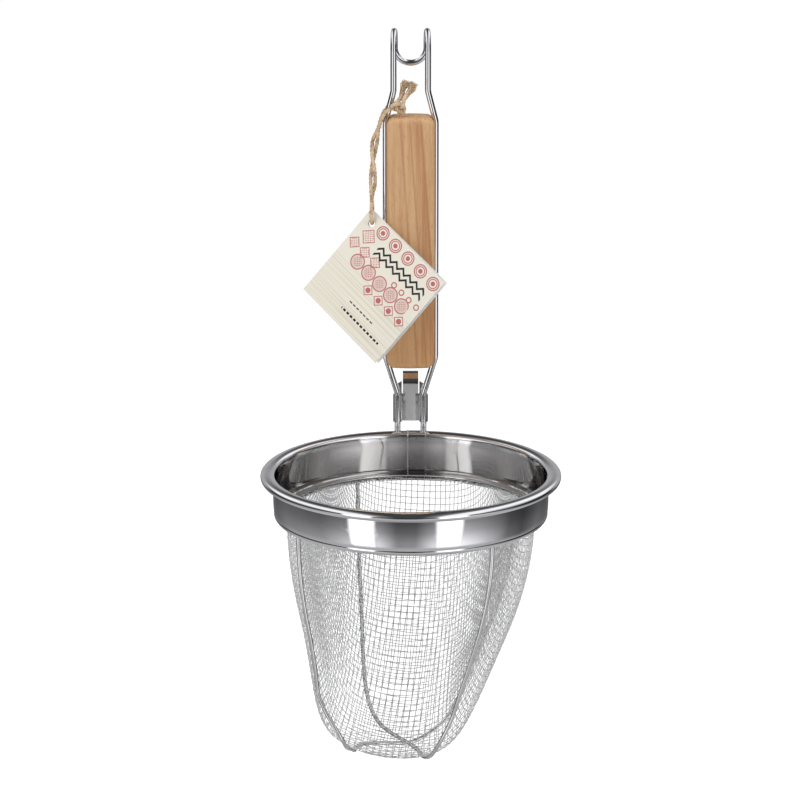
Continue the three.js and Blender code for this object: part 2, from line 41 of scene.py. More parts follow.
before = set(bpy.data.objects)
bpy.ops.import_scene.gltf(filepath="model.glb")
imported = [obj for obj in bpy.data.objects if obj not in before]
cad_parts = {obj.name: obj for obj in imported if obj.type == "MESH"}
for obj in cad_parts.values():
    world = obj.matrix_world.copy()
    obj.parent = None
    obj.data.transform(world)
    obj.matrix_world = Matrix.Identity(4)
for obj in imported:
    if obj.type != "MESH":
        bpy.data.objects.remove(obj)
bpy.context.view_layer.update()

MM = 0.001
RIM_MIDDLE = Vector((0.0, -76.0, -193.25))


def at(x, y, z):
    """A point given in millimetres from the rim's middle, in the row frame in metres."""
    return (Vector((x, y, z)) + RIM_MIDDLE) * MM


# Sizes and colours that a user would change


def length(name, description, millimetres):
    return bpy.props.FloatProperty(
        name=name, description=description, default=millimetres * MM, min=0.0, precision=5, unit="LENGTH"
    )


def colour(name, description, red, green, blue):
    return bpy.props.FloatVectorProperty(
        name=name, description=description, default=(red, green, blue, 1.0), size=4, min=0.0, max=1.0,
        subtype="COLOR",
    )


class StrainerSizes(bpy.types.PropertyGroup):
    """Sizes of the strainer's visible pieces."""

    cloth_pitch: length("Cloth pitch", "Distance between the basket's wires", 3.05)
    cloth_wire: length("Cloth wire", "Diameter of the basket's wires", 0.36)
    rib_wire: length("Rib wire", "Diameter of the two wires under the basket", 1.9)
    rod: length("Handle rod", "Diameter of the handle's rod", 2.9)
    collar_sheet: length("Collar sheet", "Thickness of the rim's sheet steel", 0.7)
    clip_sheet: length("Clip sheet", "Thickness of the clip's sheet steel", 0.5)
    card: length("Card", "Thickness of the tag's card", 0.4)
    tag_side: length("Tag side", "Length of the tag's sides", 51.7)
    tag_hole: length("Tag hole", "Diameter of the hole in the tag", 3.6)
    twine: length("Twine", "Diameter of the tag's twine", 2.0)
    twine_length: length("Twine length", "Length of the twine's loop, from the knot and back", 128.7)
    knot_twine: length("Knot twine", "Diameter of the twine where it is pulled tight in the knot", 2.2)


class StrainerColours(bpy.types.PropertyGroup):
    """Colours of the strainer's finishes."""

    polished: colour("Polished steel", "Rim, ring and handle rod", 0.84, 0.84, 0.85)
    brushed: colour("Brushed steel", "Clip", 0.93, 0.925, 0.92)
    ribs: colour("Rib steel", "Wires under the basket", 0.76, 0.755, 0.75)
    cloth: colour("Cloth steel", "Woven wires", 0.94, 0.94, 0.93)
    beech: colour("Beech", "Pale wood of the grip", 0.56, 0.355, 0.19)
    beech_dark: colour("Beech grain", "Darker wood of the grip", 0.45, 0.245, 0.115)
    beech_streak: colour("Beech streak", "Reddish streak in the grip", 0.34, 0.135, 0.055)
    card: colour("Card", "Face of the tag", 0.735, 0.70, 0.60)
    card_back: colour("Card back", "Unprinted side of the tag", 0.88, 0.87, 0.85)
    card_lines: colour("Card lines", "Fine lines printed on the tag", 0.60, 0.54, 0.42)
    card_red: colour("Card red", "Red motifs printed on the tag", 0.44, 0.075, 0.09)
    card_dark: colour("Card dark", "Dark motifs printed on the tag", 0.012, 0.012, 0.014)
    jute: colour("Jute", "Pale fibres of the twine", 0.66, 0.51, 0.35)
    jute_dark: colour("Jute shade", "Darker fibres of the twine", 0.29, 0.18, 0.09)


def sizes():
    return bpy.context.scene.strainer_sizes


def colours():
    return bpy.context.scene.strainer_colours


# Nodes

VECTOR_LABELS = ("Place", "Streak Scale")
WAY_ROUND_RADIUS = 0.064
SMEAR_SCALE = 90.0
SMEAR_SHARE, STREAK_SHARE = 0.5, 0.35
SCRATCH_DEPTH = 0.00002
MATT_ROUGHNESS = 0.42
# Painted shade: the tint that darkens a steel's colour under its mask of painted shade.
PAINTED_SHADE_TINT = (0.68, 0.66, 0.64, 1.0)


class Value:
    """A socket of a shader tree to reckon with: each sum, product or comparison is a math node."""

    def __init__(self, tree, socket):
        self.tree, self.socket = tree, socket

    def math(self, operation, *others):
        return made(self.tree, "ShaderNodeMath", dict(enumerate((self, *others))), operation=operation)

    __add__ = partialmethod(math, "ADD")
    __sub__ = partialmethod(math, "SUBTRACT")
    __mul__ = partialmethod(math, "MULTIPLY")
    __truediv__ = partialmethod(math, "DIVIDE")
    __gt__ = partialmethod(math, "GREATER_THAN")
    __lt__ = partialmethod(math, "LESS_THAN")
    __neg__ = partialmethod(math, "MULTIPLY", -1.0)
    __abs__ = partialmethod(math, "ABSOLUTE")

    def between(self, low, high, to_low=0.0, to_high=1.0):
        """The value's place between low and high, eased and clamped, from to_low to to_high."""
        values = {"Value": self, "From Min": low, "From Max": high, "To Min": to_low, "To Max": to_high}
        return made(self.tree, "ShaderNodeMapRange", values, interpolation_type="SMOOTHSTEP")


def fill(tree, node, values):
    """Sets or links a node's inputs."""
    for key, value in values.items():
        if isinstance(value, Value):
            tree.links.new(value.socket, node.inputs[key])
        else:
            node.inputs[key].default_value = value


def add_node(tree, kind, values=None, **settings):
    node = tree.nodes.new(kind)
    for name, value in settings.items():
        setattr(node, name, value)
    fill(tree, node, values or {})
    return node


def made(tree, kind, values=None, output=0, **settings):
    """What a new node gives out."""
    return Value(tree, add_node(tree, kind, values, **settings).outputs[output])


def most(values):
    return reduce(lambda first, second: first.math("MAXIMUM", second), values)


def mixed(share, first, second, blend="MIX"):
    """A colour between two others."""
    tree = next(value.tree for value in (share, first, second) if isinstance(value, Value))
    values = {0: share, 6: first, 7: second}
    return made(tree, "ShaderNodeMix", values, 2, data_type="RGBA", blend_type=blend, clamp_factor=True)


def grey(value):
    return (value, value, value, 1.0)


def shaded(tint, share):
    return tuple(c * share for c in tint[:3]) + (1.0,)


def vector_math(operation, *vectors, output=0):
    values = dict(enumerate(vectors))
    return made(vectors[0].tree, "ShaderNodeVectorMath", values, output, operation=operation)


def parts_of(vector):
    node = add_node(vector.tree, "ShaderNodeSeparateXYZ", {0: vector})
    return [Value(vector.tree, socket) for socket in node.outputs]


def noise(vector, scale, detail=3.0, roughness=0.5):
    """Noise of one scale, or of a scale along each axis."""
    if isinstance(scale, tuple):
        vector, scale = vector_math("MULTIPLY", vector, scale), 1.0
    values = {"Vector": vector, "Scale": scale, "Detail": detail, "Roughness": roughness}
    return made(vector.tree, "ShaderNodeTexNoise", values)


def bump(height, strength, distance):
    values = {"Height": height, "Strength": strength, "Distance": distance}
    return made(height.tree, "ShaderNodeBump", values)


def object_place(tree):
    return made(tree, "ShaderNodeTexCoord", output="Object")


def rim_place(tree):
    """Place from the rim's middle."""
    return vector_math("SUBTRACT", object_place(tree), tuple(RIM_MIDDLE * MM))


def round_the_rim(tree):
    """Place on the collar: the way round it and the height, in metres."""
    x, y, height = parts_of(rim_place(tree))
    way = x.math("ARCTAN2", -y) * WAY_ROUND_RADIUS
    return made(tree, "ShaderNodeCombineXYZ", {0: way, 1: 0.0, 2: height})


def material_of(name, inputs_of, place_of=object_place):
    """A material whose shader inputs follow from the place on the piece."""
    material = bpy.data.materials.new(name)
    material.use_nodes = True
    tree = material.node_tree
    fill(tree, tree.nodes["Principled BSDF"], inputs_of(place_of(tree)))
    return material


def group_results(tree, name, results_of, values):
    """Results of a shader node group by name; the group is made at its first use."""
    group = bpy.data.node_groups.get(name)
    if group is None:
        group = bpy.data.node_groups.new(name, "ShaderNodeTree")
        for label in values:
            kind = "NodeSocketVector" if label in VECTOR_LABELS else "NodeSocketFloat"
            group.interface.new_socket(label, in_out="INPUT", socket_type=kind)
        source = group.nodes.new("NodeGroupInput")
        results = results_of({label: Value(group, source.outputs[label]) for label in values})
        for label in results:
            group.interface.new_socket(label, in_out="OUTPUT", socket_type="NodeSocketFloat")
        fill(group, group.nodes.new("NodeGroupOutput"), results)
    node = add_node(tree, "ShaderNodeGroup", values, node_tree=group)
    return {socket.name: Value(tree, socket) for socket in node.outputs}


def handling_marks(given):
    """Drawn streaks and cloudy smears of handled steel."""
    drawn_out = vector_math("MULTIPLY", given["Place"], given["Streak Scale"])
    return {"Streaks": noise(drawn_out, 1.0, 2.0), "Clouds": noise(given["Place"], SMEAR_SCALE, 4.0, 0.6)}


def steel(
    name, tint, streak_scale, roughness, place_of=object_place, shade=0.08, scratch=0.08, matt_of=None,
    painted_shade_of=None,
):
    """Bare stainless steel: a tint, drawn streaks and smears, a mask of its matt parts and a mask of painted
    shade.
    """

    def inputs_of(place):
        values = {"Place": place, "Streak Scale": streak_scale}
        marks = group_results(place.tree, "handling marks", handling_marks, values)
        wear = marks["Clouds"].between(0.5, 0.8) * SMEAR_SHARE + marks["Streaks"] * STREAK_SHARE
        inputs = {
            "Base Color": mixed(wear, tint, shaded(tint, 1.0 - shade)),
            "Roughness": wear.between(0.1, 0.8, *roughness),
            "Metallic": 1.0,
        }
        if matt_of:
            inputs["Roughness"] = matt_of(place.tree) * MATT_ROUGHNESS + inputs["Roughness"]
        # Painted shade darkens the colour where its mask lies.
        if painted_shade_of:
            inputs["Base Color"] = mixed(painted_shade_of(place.tree), inputs["Base Color"], PAINTED_SHADE_TINT, "MULTIPLY")
        if scratch:
            inputs["Normal"] = bump(marks["Streaks"], scratch, SCRATCH_DEPTH)
        return inputs

    return material_of(name, inputs_of, place_of)


# Meshes

SAME_PLACE = 1e-7
BEND_STEP = 6.0
SHARP_EDGE, SHARP_WIRE, SHARP_SHEET, SHARP_GRIP = 50, 50, 40, 35


def link(piece):
    bpy.context.scene.collection.objects.link(piece)
    return piece


def evaluated_mesh(form):
    """The mesh of an object with its modifiers or bevel applied; the object goes."""
    depsgraph = bpy.context.evaluated_depsgraph_get()
    mesh = bpy.data.meshes.new_from_object(form.evaluated_get(depsgraph))
    bpy.data.objects.remove(form)
    return mesh


def smooth_below(mesh, degrees):
    """Smooth shading, with edges that turn more than the angle left sharp."""
    mesh.polygons.foreach_set("use_smooth", [True] * len(mesh.polygons))
    mesh.set_sharp_from_angle(angle=math.radians(degrees))
    return mesh


def wires(name, runs, radius, resolution):
    """A mesh of round wires, each along a run of points."""
    curve = bpy.data.curves.new(name, "CURVE")
    curve.dimensions = "3D"
    curve.bevel_depth = radius
    curve.bevel_resolution = resolution
    curve.use_fill_caps = True
    for run in runs:
        spline = curve.splines.new("POLY")
        spline.points.add(len(run) - 1)
        for point, place in zip(spline.points, run):
            point.co = (*place, 1.0)
    mesh = evaluated_mesh(link(bpy.data.objects.new(name, curve)))
    bpy.data.curves.remove(curve)
    bm = bmesh.new()
    bm.from_mesh(mesh)
    bmesh.ops.remove_doubles(bm, verts=bm.verts[:], dist=SAME_PLACE)
    bm.to_mesh(mesh)
    bm.free()
    return smooth_below(mesh, SHARP_WIRE)


def chain(bm, points):
    """Edges through the points, one after another."""
    corners = [bm.verts.new(point) for point in points]
    return [bm.edges.new(pair) for pair in zip(corners, corners[1:])]


def move_new(bm, extruded, way):
    """Moves the corners that an extrusion made."""
    corners = [part for part in extruded["geom"] if isinstance(part, bmesh.types.BMVert)]
    bmesh.ops.translate(bm, verts=corners, vec=way)


def form_of(bm, name):
    """A scratch object of a bmesh, with its faces turned outwards."""
    bmesh.ops.recalc_face_normals(bm, faces=bm.faces[:])
    mesh = bpy.data.meshes.new(name)
    bm.to_mesh(mesh)
    bm.free()
    return link(bpy.data.objects.new(name, mesh))


def turned(name, points, angle=2 * math.pi, steps=160, start=0.0):
    """A sheet whose section, as radius and height in millimetres, is spun round the rim's axis."""
    bm = bmesh.new()
    along = Vector((math.sin(start), -math.cos(start), 0.0))
    edges = chain(bm, [at(along.x * r, along.y * r, z) for r, z in points])
    geometry = edges + bm.verts[:]
    whole = angle > math.radians(359)
    bmesh.ops.spin(
        bm, geom=geometry, cent=at(0, 0, 0), axis=(0, 0, 1), angle=angle, steps=steps, use_merge=whole
    )
    bmesh.ops.remove_doubles(bm, verts=bm.verts[:], dist=SAME_PLACE)
    return form_of(bm, name)


def drawn(name, points, way):
    """A sheet whose section is drawn out along a straight way."""
    bm = bmesh.new()
    edges = chain(bm, points)
    move_new(bm, bmesh.ops.extrude_edge_only(bm, edges=edges), way)
    return form_of(bm, name)


def thicken(form, thickness):
    modifier = form.modifiers.new("sheet", "SOLIDIFY")
    modifier.thickness = thickness
    modifier.offset = 0.0
    modifier.use_even_offset = True
    return form


def soften(form, width):
    """Rounds the edges that turn sharply."""
    modifier = form.modifiers.new("edges", "BEVEL")
    modifier.width = width
    modifier.segments = 2
    modifier.limit_method = "ANGLE"
    modifier.angle_limit = math.radians(SHARP_EDGE)
    return form


def combine(form, other, operation):
    """Joins or cuts with another scratch object, which goes."""
    modifier = form.modifiers.new(operation.lower(), "BOOLEAN")
    modifier.operation = operation
    modifier.solver = "EXACT"
    modifier.object = other
    name = form.name
    mesh = evaluated_mesh(form)
    bpy.data.objects.remove(other)
    return link(bpy.data.objects.new(name, mesh))


def show(name, mesh, material, nodes=(), body="strainer"):
    """A finished piece that rides on its body and stands for its CAD nodes."""
    mesh.name = name
    mesh.materials.clear()
    mesh.materials.append(material)
    piece = link(bpy.data.objects.new(name, mesh))
    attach(piece, body)
    if nodes:
        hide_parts(*nodes)
    return piece


def show_wires(name, runs, radius, resolution, material, nodes=()):
    return show(name, wires(name, runs, radius, resolution), material, nodes)


def show_form(name, form, material, nodes=()):
    return show(name, smooth_below(evaluated_mesh(form), SHARP_SHEET), material, nodes)


def arc(centre, radius, start, end, steps):
    """Points on an arc, as pairs, between two angles in degrees."""
    angles = [math.radians(start + (end - start) * i / steps) for i in range(steps + 1)]
    return [(centre[0] + radius * math.cos(a), centre[1] + radius * math.sin(a)) for a in angles]


def bent(corners):
    """Points of a rod through corners, each (place, bend radius)."""
    points = [corners[0][0]]
    for (before, _), (here, radius), (after, _) in zip(corners, corners[1:], corners[2:]):
        arriving, leaving = (here - before).normalized(), (after - here).normalized()
        turn = arriving.angle(leaving)
        inward = (leaving - arriving * math.cos(turn)).normalized()
        start = here - arriving * radius * math.tan(turn / 2)
        steps = max(1, math.ceil(math.degrees(turn) / BEND_STEP))
        for k in range(steps + 1):
            angle = turn * k / steps
            points.append(start + arriving * radius * math.sin(angle) + inward * radius * (1 - math.cos(angle)))
    return points + [corners[-1][0]]


def eased(points, spacing):
    """Points close together on a smooth curve through the given ones."""
    slopes = []
    for index, here in enumerate(points):
        before, after = points[max(index - 1, 0)], points[min(index + 1, len(points) - 1)]
        arriving, leaving = here - before, after - here
        arrived, left = arriving.length, leaving.length
        if arrived == 0 or left == 0:
            slopes.append((after - before).normalized())
        else:
            slopes.append((arriving / arrived * left + leaving / left * arrived) / (arrived + left))
    run = []
    for index in range(len(points) - 1):
        here, after = points[index], points[index + 1]
        gap = (after - here).length
        count = max(2, round(gap / spacing) + 1)
        handle = slopes[index] * gap / 3
        run += interpolate_bezier(here, here + handle, after - slopes[index + 1] * gap / 3, after, count)[:-1]
    return run + [points[-1]]


def plies(run, offset, pitch, count):
    """Runs that wind round a run of points side by side, as the plies of a twisted twine."""
    tangents = [(b - a).normalized() for a, b in zip(run, run[1:])]
    tangents.append(tangents[-1])
    side = tangents[0].orthogonal().normalized()
    wound = [[] for _ in range(count)]
    gone = 0.0
    for index, place in enumerate(run):
        if index:
            side = tangents[index - 1].rotation_difference(tangents[index]) @ side
            gone += (place - run[index - 1]).length
        side = (side - tangents[index] * side.dot(tangents[index])).normalized()
        other = tangents[index].cross(side)
        for ply in range(count):
            angle = 2 * math.pi * (gone / pitch + ply / count)
            wound[ply].append(place + (side * math.cos(angle) + other * math.sin(angle)) * offset)
    return wound


# Camera, light and floor

CAMERA_PLACE = (-0.00503, -2.2798, 0.46495)
CAMERA_TILT = 74.24
CAMERA_LENS, CAMERA_SENSOR, CAMERA_REACH = 222.4, 36.0, 60.0
LAMP_AIM = Vector((0.0, -0.05, -0.17))
LAMPS = (
    ("left softbox", (-1.3, -1.4, 1.1), 1.2, 17.0),
    ("right softbox", (1.4, -1.2, 0.7), 1.2, 11.0),
    ("top softbox", (0.0, 0.1, 1.8), 1.6, 9.0),
)
FLOOR_HEIGHT = -0.40
FLOOR_REACH, FLOOR_GLOW = 9.0, 0.35

# What steel mirrors. Round the object, by degrees from the front towards +X: grey surroundings, which
# darken towards the horizon and brighten towards the floor, and two white screens. Overhead, by the share of
# the way to either side: two more screens. Below, by the share of the way straight down: the floor.
GREYS_ROUND = [
    (-180, 0.14), (-150, 0.10), (-128, 0.15), (-80, 0.165), (-50, 0.34), (-27, 0.40), (-12, 0.145), (4, 0.15),
    (19, 0.40), (45, 0.54), (72, 0.26), (90, 0.09), (108, 0.05), (132, 0.11), (150, 0.09), (180, 0.14),
]
SCREENS_ROUND = [
    (-55, 0.0), (-51, 1.0), (-32, 1.0), (-28, 0.0), (19, 0.0), (23, 1.0), (42, 1.0), (46, 0.0),
]
HORIZON = [(0.0, 0.22), (0.1, 0.3), (0.28, 1.0), (0.4, 2.0), (0.5, 2.4)]
SCREENS_OVERHEAD = [
    (-1.0, 0.45), (-0.86, 0.45), (-0.78, 1.0), (-0.46, 1.0), (-0.36, 0.25), (-0.18, 0.05), (0.12, 0.05),
    (0.28, 0.25), (0.36, 1.0), (0.72, 1.0), (0.80, 0.45), (1.0, 0.40),
]
SCREENS_BELOW = [(0.3, 0.30), (0.5, 0.42), (0.8, 0.52), (1.0, 0.34)]
SCREEN_STRENGTH, OVERHEAD_STRENGTH = 1.6, 1.1
OVERHEAD_FROM, BELOW_FROM = (0.2, 0.5), (-0.42, -0.6)
BACKDROP = (0.42, 0.42, 0.43, 1.0)
BACKDROP_HEIGHT, BACKDROP_WIDTH = (-0.22, -0.06), (-0.6, -0.85)
MATT_LIGHT = (0.62, 0.62, 0.63, 1.0)
COOL = 1.02


def grey_ramp(share, stops, span=None):
    """Greys along a share; with a span, the stops are counted from its middle."""
    node = add_node(share.tree, "ShaderNodeValToRGB", {"Fac": share})
    elements = node.color_ramp.elements
    while len(elements) < len(stops):
        elements.new(0.5)
    for element, (place, value) in zip(elements, stops):
        element.position = 0.5 + place / span if span else place
        element.color = (value, value, value * COOL, 1.0)
    return Value(share.tree, node.outputs[0])


class STRAINER_OT_stage(bpy.types.Operator):
    """Make the camera, the studio light and the white floor"""

    bl_idname = "strainer.stage"
    bl_label = "Stage"

    def execute(self, context):
        scene = context.scene
        scene.view_settings.view_transform = "Standard"
        camera = bpy.data.cameras.new("photo camera")
        camera.lens = CAMERA_LENS
        camera.sensor_width = CAMERA_SENSOR
        camera.clip_end = CAMERA_REACH
        holder = link(bpy.data.objects.new("photo camera", camera))
        holder.location = CAMERA_PLACE
        holder.rotation_euler = (math.radians(CAMERA_TILT), 0.0, 0.0)
        scene.camera = holder
        self.light_world(scene)
        self.hang_lamps()
        self.lay_floor()
        return {"FINISHED"}

    def light_world(self, scene):
        """White to the camera, plain to matt surfaces, and a studio of white and dark screens to steel."""
        world = bpy.data.worlds.new("studio")
        world.use_nodes = True
        scene.world = world
        tree = world.node_tree
        across, back, up = parts_of(made(tree, "ShaderNodeTexCoord", output="Generated"))
        forward, down = -back, -up
        turn = across.math("ARCTAN2", forward) / (2 * math.pi) + 0.5
        greys = mixed(1.0, grey_ramp(turn, GREYS_ROUND, 360), grey_ramp(down, HORIZON), "MULTIPLY")
        walls = mixed(1.0, grey_ramp(turn, SCREENS_ROUND, 360), grey(SCREEN_STRENGTH), "MULTIPLY")
        round_about = mixed(1.0, greys, walls, "LIGHTEN")
        behind = up.between(*BACKDROP_HEIGHT) * forward.between(*BACKDROP_WIDTH)
        round_about = mixed(behind, round_about, BACKDROP)
        overhead = grey_ramp(across * 0.5 + 0.5, SCREENS_OVERHEAD, 2)
        overhead = mixed(1.0, overhead, grey(OVERHEAD_STRENGTH), "MULTIPLY")
        screens = mixed(up.between(*OVERHEAD_FROM), round_about, overhead)
        screens = mixed(up.between(*BELOW_FROM), screens, grey_ramp(down, SCREENS_BELOW))
        lit = mixed(made(tree, "ShaderNodeLightPath", output="Is Glossy Ray"), MATT_LIGHT, screens)
        seen = mixed(made(tree, "ShaderNodeLightPath", output="Is Camera Ray"), lit, grey(1.0))
        fill(tree, tree.nodes["Background"], {"Color": seen})

    def hang_lamps(self):
        for name, place, size, power in LAMPS:
            lamp = bpy.data.lights.new(name, "AREA")
            lamp.size = size
            lamp.energy = power
            holder = link(bpy.data.objects.new(name, lamp))
            holder.location = place
            holder.rotation_euler = (LAMP_AIM - Vector(place)).to_track_quat("-Z", "Y").to_euler()
            holder.visible_glossy = False

    def lay_floor(self):
        bm = bmesh.new()
        bmesh.ops.create_circle(bm, cap_ends=True, segments=64, radius=FLOOR_REACH)
        bmesh.ops.translate(bm, verts=bm.verts[:], vec=(0.0, 0.0, FLOOR_HEIGHT))
        floor = form_of(bm, "white_floor")
        floor.data.materials.append(material_of("white paper floor", self.white_paper))
        floor.visible_glossy = False

    def white_paper(self, place):
        seen = made(place.tree, "ShaderNodeLightPath", output="Is Camera Ray")
        return {
            "Base Color": mixed(noise(place, 3.0, 2.0), grey(0.92), grey(0.90)),
            "Roughness": 1.0,
            "Specular IOR Level": 0.0,
            "Emission Color": grey(1.0),
            "Emission Strength": seen * FLOOR_GLOW,
        }


# Twine and knot

TAG_HOLE = (-18.5, 62.0, 105.2)
TAG_YAW, TAG_LEAN, TAG_SKEW = 23.8, 15.8, 1.7
TAG_HOLE_INSET = 7.2
TAG_FOLD_GAP = 0.5
TWINE_LOOP, TWINE_LOOP_YAW = 4.0, 5.0
TWINE_SEAT = 0.2
STRAND_GAP = 0.2
STRAND_MIDDLES = [
    (-18.3, 63.9, 117.0), (-17.8, 64.7, 124.0), (-17.8, 65.4, 131.0), (-17.5, 66.2, 138.0),
    (-16.7, 66.9, 144.5), (-15.2, 67.5, 150.0),
]
TWINE_FROM_KNOT = [(-9.9, 64.2, 160.1), (-12.2, 64.4, 157.8), (-13.9, 65.2, 154.2)]
TWINE_TO_KNOT = [
    (-14.0, 69.9, 154.0), (-12.6, 71.0, 157.0), (-10.6, 71.6, 159.6), (-8.9, 71.3, 160.8),
    (-7.5, 70.3, 161.4), (-6.6, 68.6, 161.6), (-6.3, 66.0, 161.7),
]
KNOT_PLACE, KNOT_TWIST, KNOT_OPENING = (-5.5, 64.2, 161.2), -37.0, 60.0
KNOT_SIZE, KNOT_LIFT, KNOT_TURNS = 1.1, 1.1, 18
KNOT_TAILS = ((-2.3, 64.7, 173.2), (1.7, 63.7, 172.4))
PLIES, PLY_ASIDE, PLY_RADIUS, TWINE_LAY = 3, 0.21, 0.27, 6.0
KNOT_PLY_RADIUS, KNOT_LAY = 0.28, 4.6
FIBRES, FIBRE_RADIUS, FUZZ_SEED = 260, 0.03, 7
FRAYED, FRAYED_RADIUS, FRAY_SEED = 130, 0.09, 11
TWINE_SPACING, KNOT_SPACING = 0.4, 0.3

# A loose fibre's points: how far it goes off the twine, leans along it and curls, in shares.
FUZZ_POINTS = ((0, 0, 0), (0.35, 0.4, 0), (0.75, 0.9, 0.5), (1, 1.3, 1))
FUZZ_ROOT, FUZZ_REACH, FUZZ_LEAN, FUZZ_CURL = 0.8, (0.5, 1.5), (0.6, 1.8), (-0.8, 0.8)

# A frayed fibre's points: the share of its length, how far it spreads in millimetres, and its wave.
FRAY_POINTS = ((0.25, 0.75, 0), (0.55, 1.05, 1), (0.8, 1.55, -1), (1.0, 2.3, 0))
FRAY_WAVE, FRAY_LENGTHS = 0.25, (0.74, 1.06)


def tag_turn():
    """The tag's own axes in the row frame: across it, behind it and up."""
    return (
        Matrix.Rotation(-math.radians(TAG_LEAN), 3, "X")
        @ Matrix.Rotation(-math.radians(TAG_YAW), 3, "Z")
        @ Matrix.Rotation(-math.radians(TAG_SKEW), 3, "Y")
    )


def strand_points(side):
    """One of the two strands that wind once round each other between the tag and the grip's top."""
    apart = (sizes().twine / MM + STRAND_GAP) / 2
    points = []
    for index, middle in enumerate(STRAND_MIDDLES):
        turn = 2 * math.pi * index / (len(STRAND_MIDDLES) - 1)
        aside = Vector((math.sin(turn), math.cos(turn), 0.0))
        points.append(Vector(middle) + aside * side * apart)
    return points


def twine_route():
    hole = tag_turn() @ Vector((0.0, sizes().card / MM + TAG_FOLD_GAP / 2, TWINE_SEAT)) + Vector(TAG_HOLE)
    lean = Matrix.Rotation(-math.radians(TAG_LEAN), 3, "X")
    turn = lean @ Matrix.Rotation(-math.radians(TWINE_LOOP_YAW), 3, "Z")
    slant = math.sqrt(0.5)
    loop = [
        turn @ Vector((0.0, TWINE_LOOP * behind, TWINE_LOOP * up)) + hole
        for behind, up in ((-1, 1), (-slant, 1 - slant), (0, 0), (slant, 1 - slant), (1, 1))
    ]
    points = TWINE_FROM_KNOT + strand_points(-1)[::-1] + loop + strand_points(1) + TWINE_TO_KNOT
    return [at(*p) for p in points]


def knot_route():
    twist = Matrix.Rotation(math.radians(KNOT_TWIST), 3, "Y")
    points = []
    for step in range(1, KNOT_TURNS):
        t = math.radians(KNOT_OPENING + 360 * step / KNOT_TURNS)
        loop = Vector((
            KNOT_SIZE * (math.sin(t) + 2 * math.sin(2 * t)),
            -KNOT_LIFT * math.sin(3 * t),
            KNOT_SIZE * (math.cos(t) - 2 * math.cos(2 * t)),
        ))
        points.append(at(*(twist @ loop + Vector(KNOT_PLACE))))
    return [at(*KNOT_TAILS[0])] + points + [at(*KNOT_TAILS[1])]


def twisted_jute(place):
    strands = noise(place, (2600.0, 2600.0, 700.0), 4.0, 0.65)
    shade = noise(place, 260.0) * 0.5 + strands * 0.6
    return {
        "Base Color": mixed(shade.between(0.44, 0.74), colours().jute, colours().jute_dark),
        "Roughness": strands.between(0.3, 0.7, 0.8, 0.98),
        "Normal": bump(strands, 0.6, 0.0001),
        "Specular IOR Level": 0.2,
    }


def fuzz(run, radius, count, seed):
    """Short loose fibres that stand off a twine."""
    draw = random.Random(seed)
    hairs = []
    for _ in range(count):
        index = draw.randrange(2, len(run) - 3)
        along = (run[index + 1] - run[index - 1]).normalized()
        away = Vector((draw.uniform(-1, 1), draw.uniform(-1, 1), draw.uniform(-1, 1)))
        away = (away - along * away.dot(along)).normalized()
        start = run[index] + away * radius * FUZZ_ROOT
        reach = draw.uniform(*FUZZ_REACH) * MM
        lean = along * draw.choice((-1, 1)) * draw.uniform(*FUZZ_LEAN)
        curl = along.cross(away) * draw.uniform(*FUZZ_CURL)
        hairs.append([
            start + (away * off + lean * by + curl * bend) * reach for off, by, bend in FUZZ_POINTS
        ])
    return hairs


class STRAINER_OT_twine(bpy.types.Operator):
    """Twist the twine that carries the tag, with its knot and frayed ends"""

    bl_idname = "strainer.twine"
    bl_label = "Twine and knot"

    def execute(self, context):
        jute = material_of("twisted jute", twisted_jute)
        twine = sizes().twine
        route = eased(twine_route(), TWINE_SPACING * MM)
        strands = plies(route, PLY_ASIDE * twine, TWINE_LAY * MM, PLIES)
        loop = show_wires("tag_twine_plies", strands, PLY_RADIUS * twine, 2, jute, ["tag_twine"])
        hairs = fuzz(route, twine / 2, FIBRES, FUZZ_SEED)
        loose = show_wires("tag_twine_fibres", hairs, FIBRE_RADIUS * MM, 0, jute)
        knot = self.tie_knot(jute)
        fray = self.fray_ends(jute)
        return {"FINISHED"}

    def tie_knot(self, jute):
        twine = sizes().knot_twine
        strands = plies(eased(knot_route(), KNOT_SPACING * MM), PLY_ASIDE * twine, KNOT_LAY * MM, PLIES)
        radius = KNOT_PLY_RADIUS * twine
        return show_wires("twine_knot_plies", strands, radius, 2, jute, ["twine_knot"])

    def fray_ends(self, jute):
        """The twine's two cut ends, opened into loose fibres."""
        draw = random.Random(FRAY_SEED)
        run = knot_route()
        hairs = []
        for root, tip in ((run[1], run[0]), (run[-2], run[-1])):
            way = (tip - root).normalized()
            side = way.cross(Vector((0.0, 1.0, 0.0))).normalized()
            other = way.cross(side)
            reach = (tip - root).length
            for _ in range(FRAYED):
                turn = draw.uniform(0, 2 * math.pi)
                spread = math.sqrt(draw.random())
                out = (side * math.cos(turn) + other * math.sin(turn)) * spread
                wave = (side * draw.uniform(-1, 1) + other * draw.uniform(-1, 1)) * FRAY_WAVE * MM
                long = reach * draw.uniform(*FRAY_LENGTHS)
                hairs.append([
                    root + way * long * share + out * apart * MM + wave * sway
                    for share, apart, sway in FRAY_POINTS
                ])
        return show_wires("twine_frayed_ends", hairs, FRAYED_RADIUS * MM, 0, jute)


# Tag

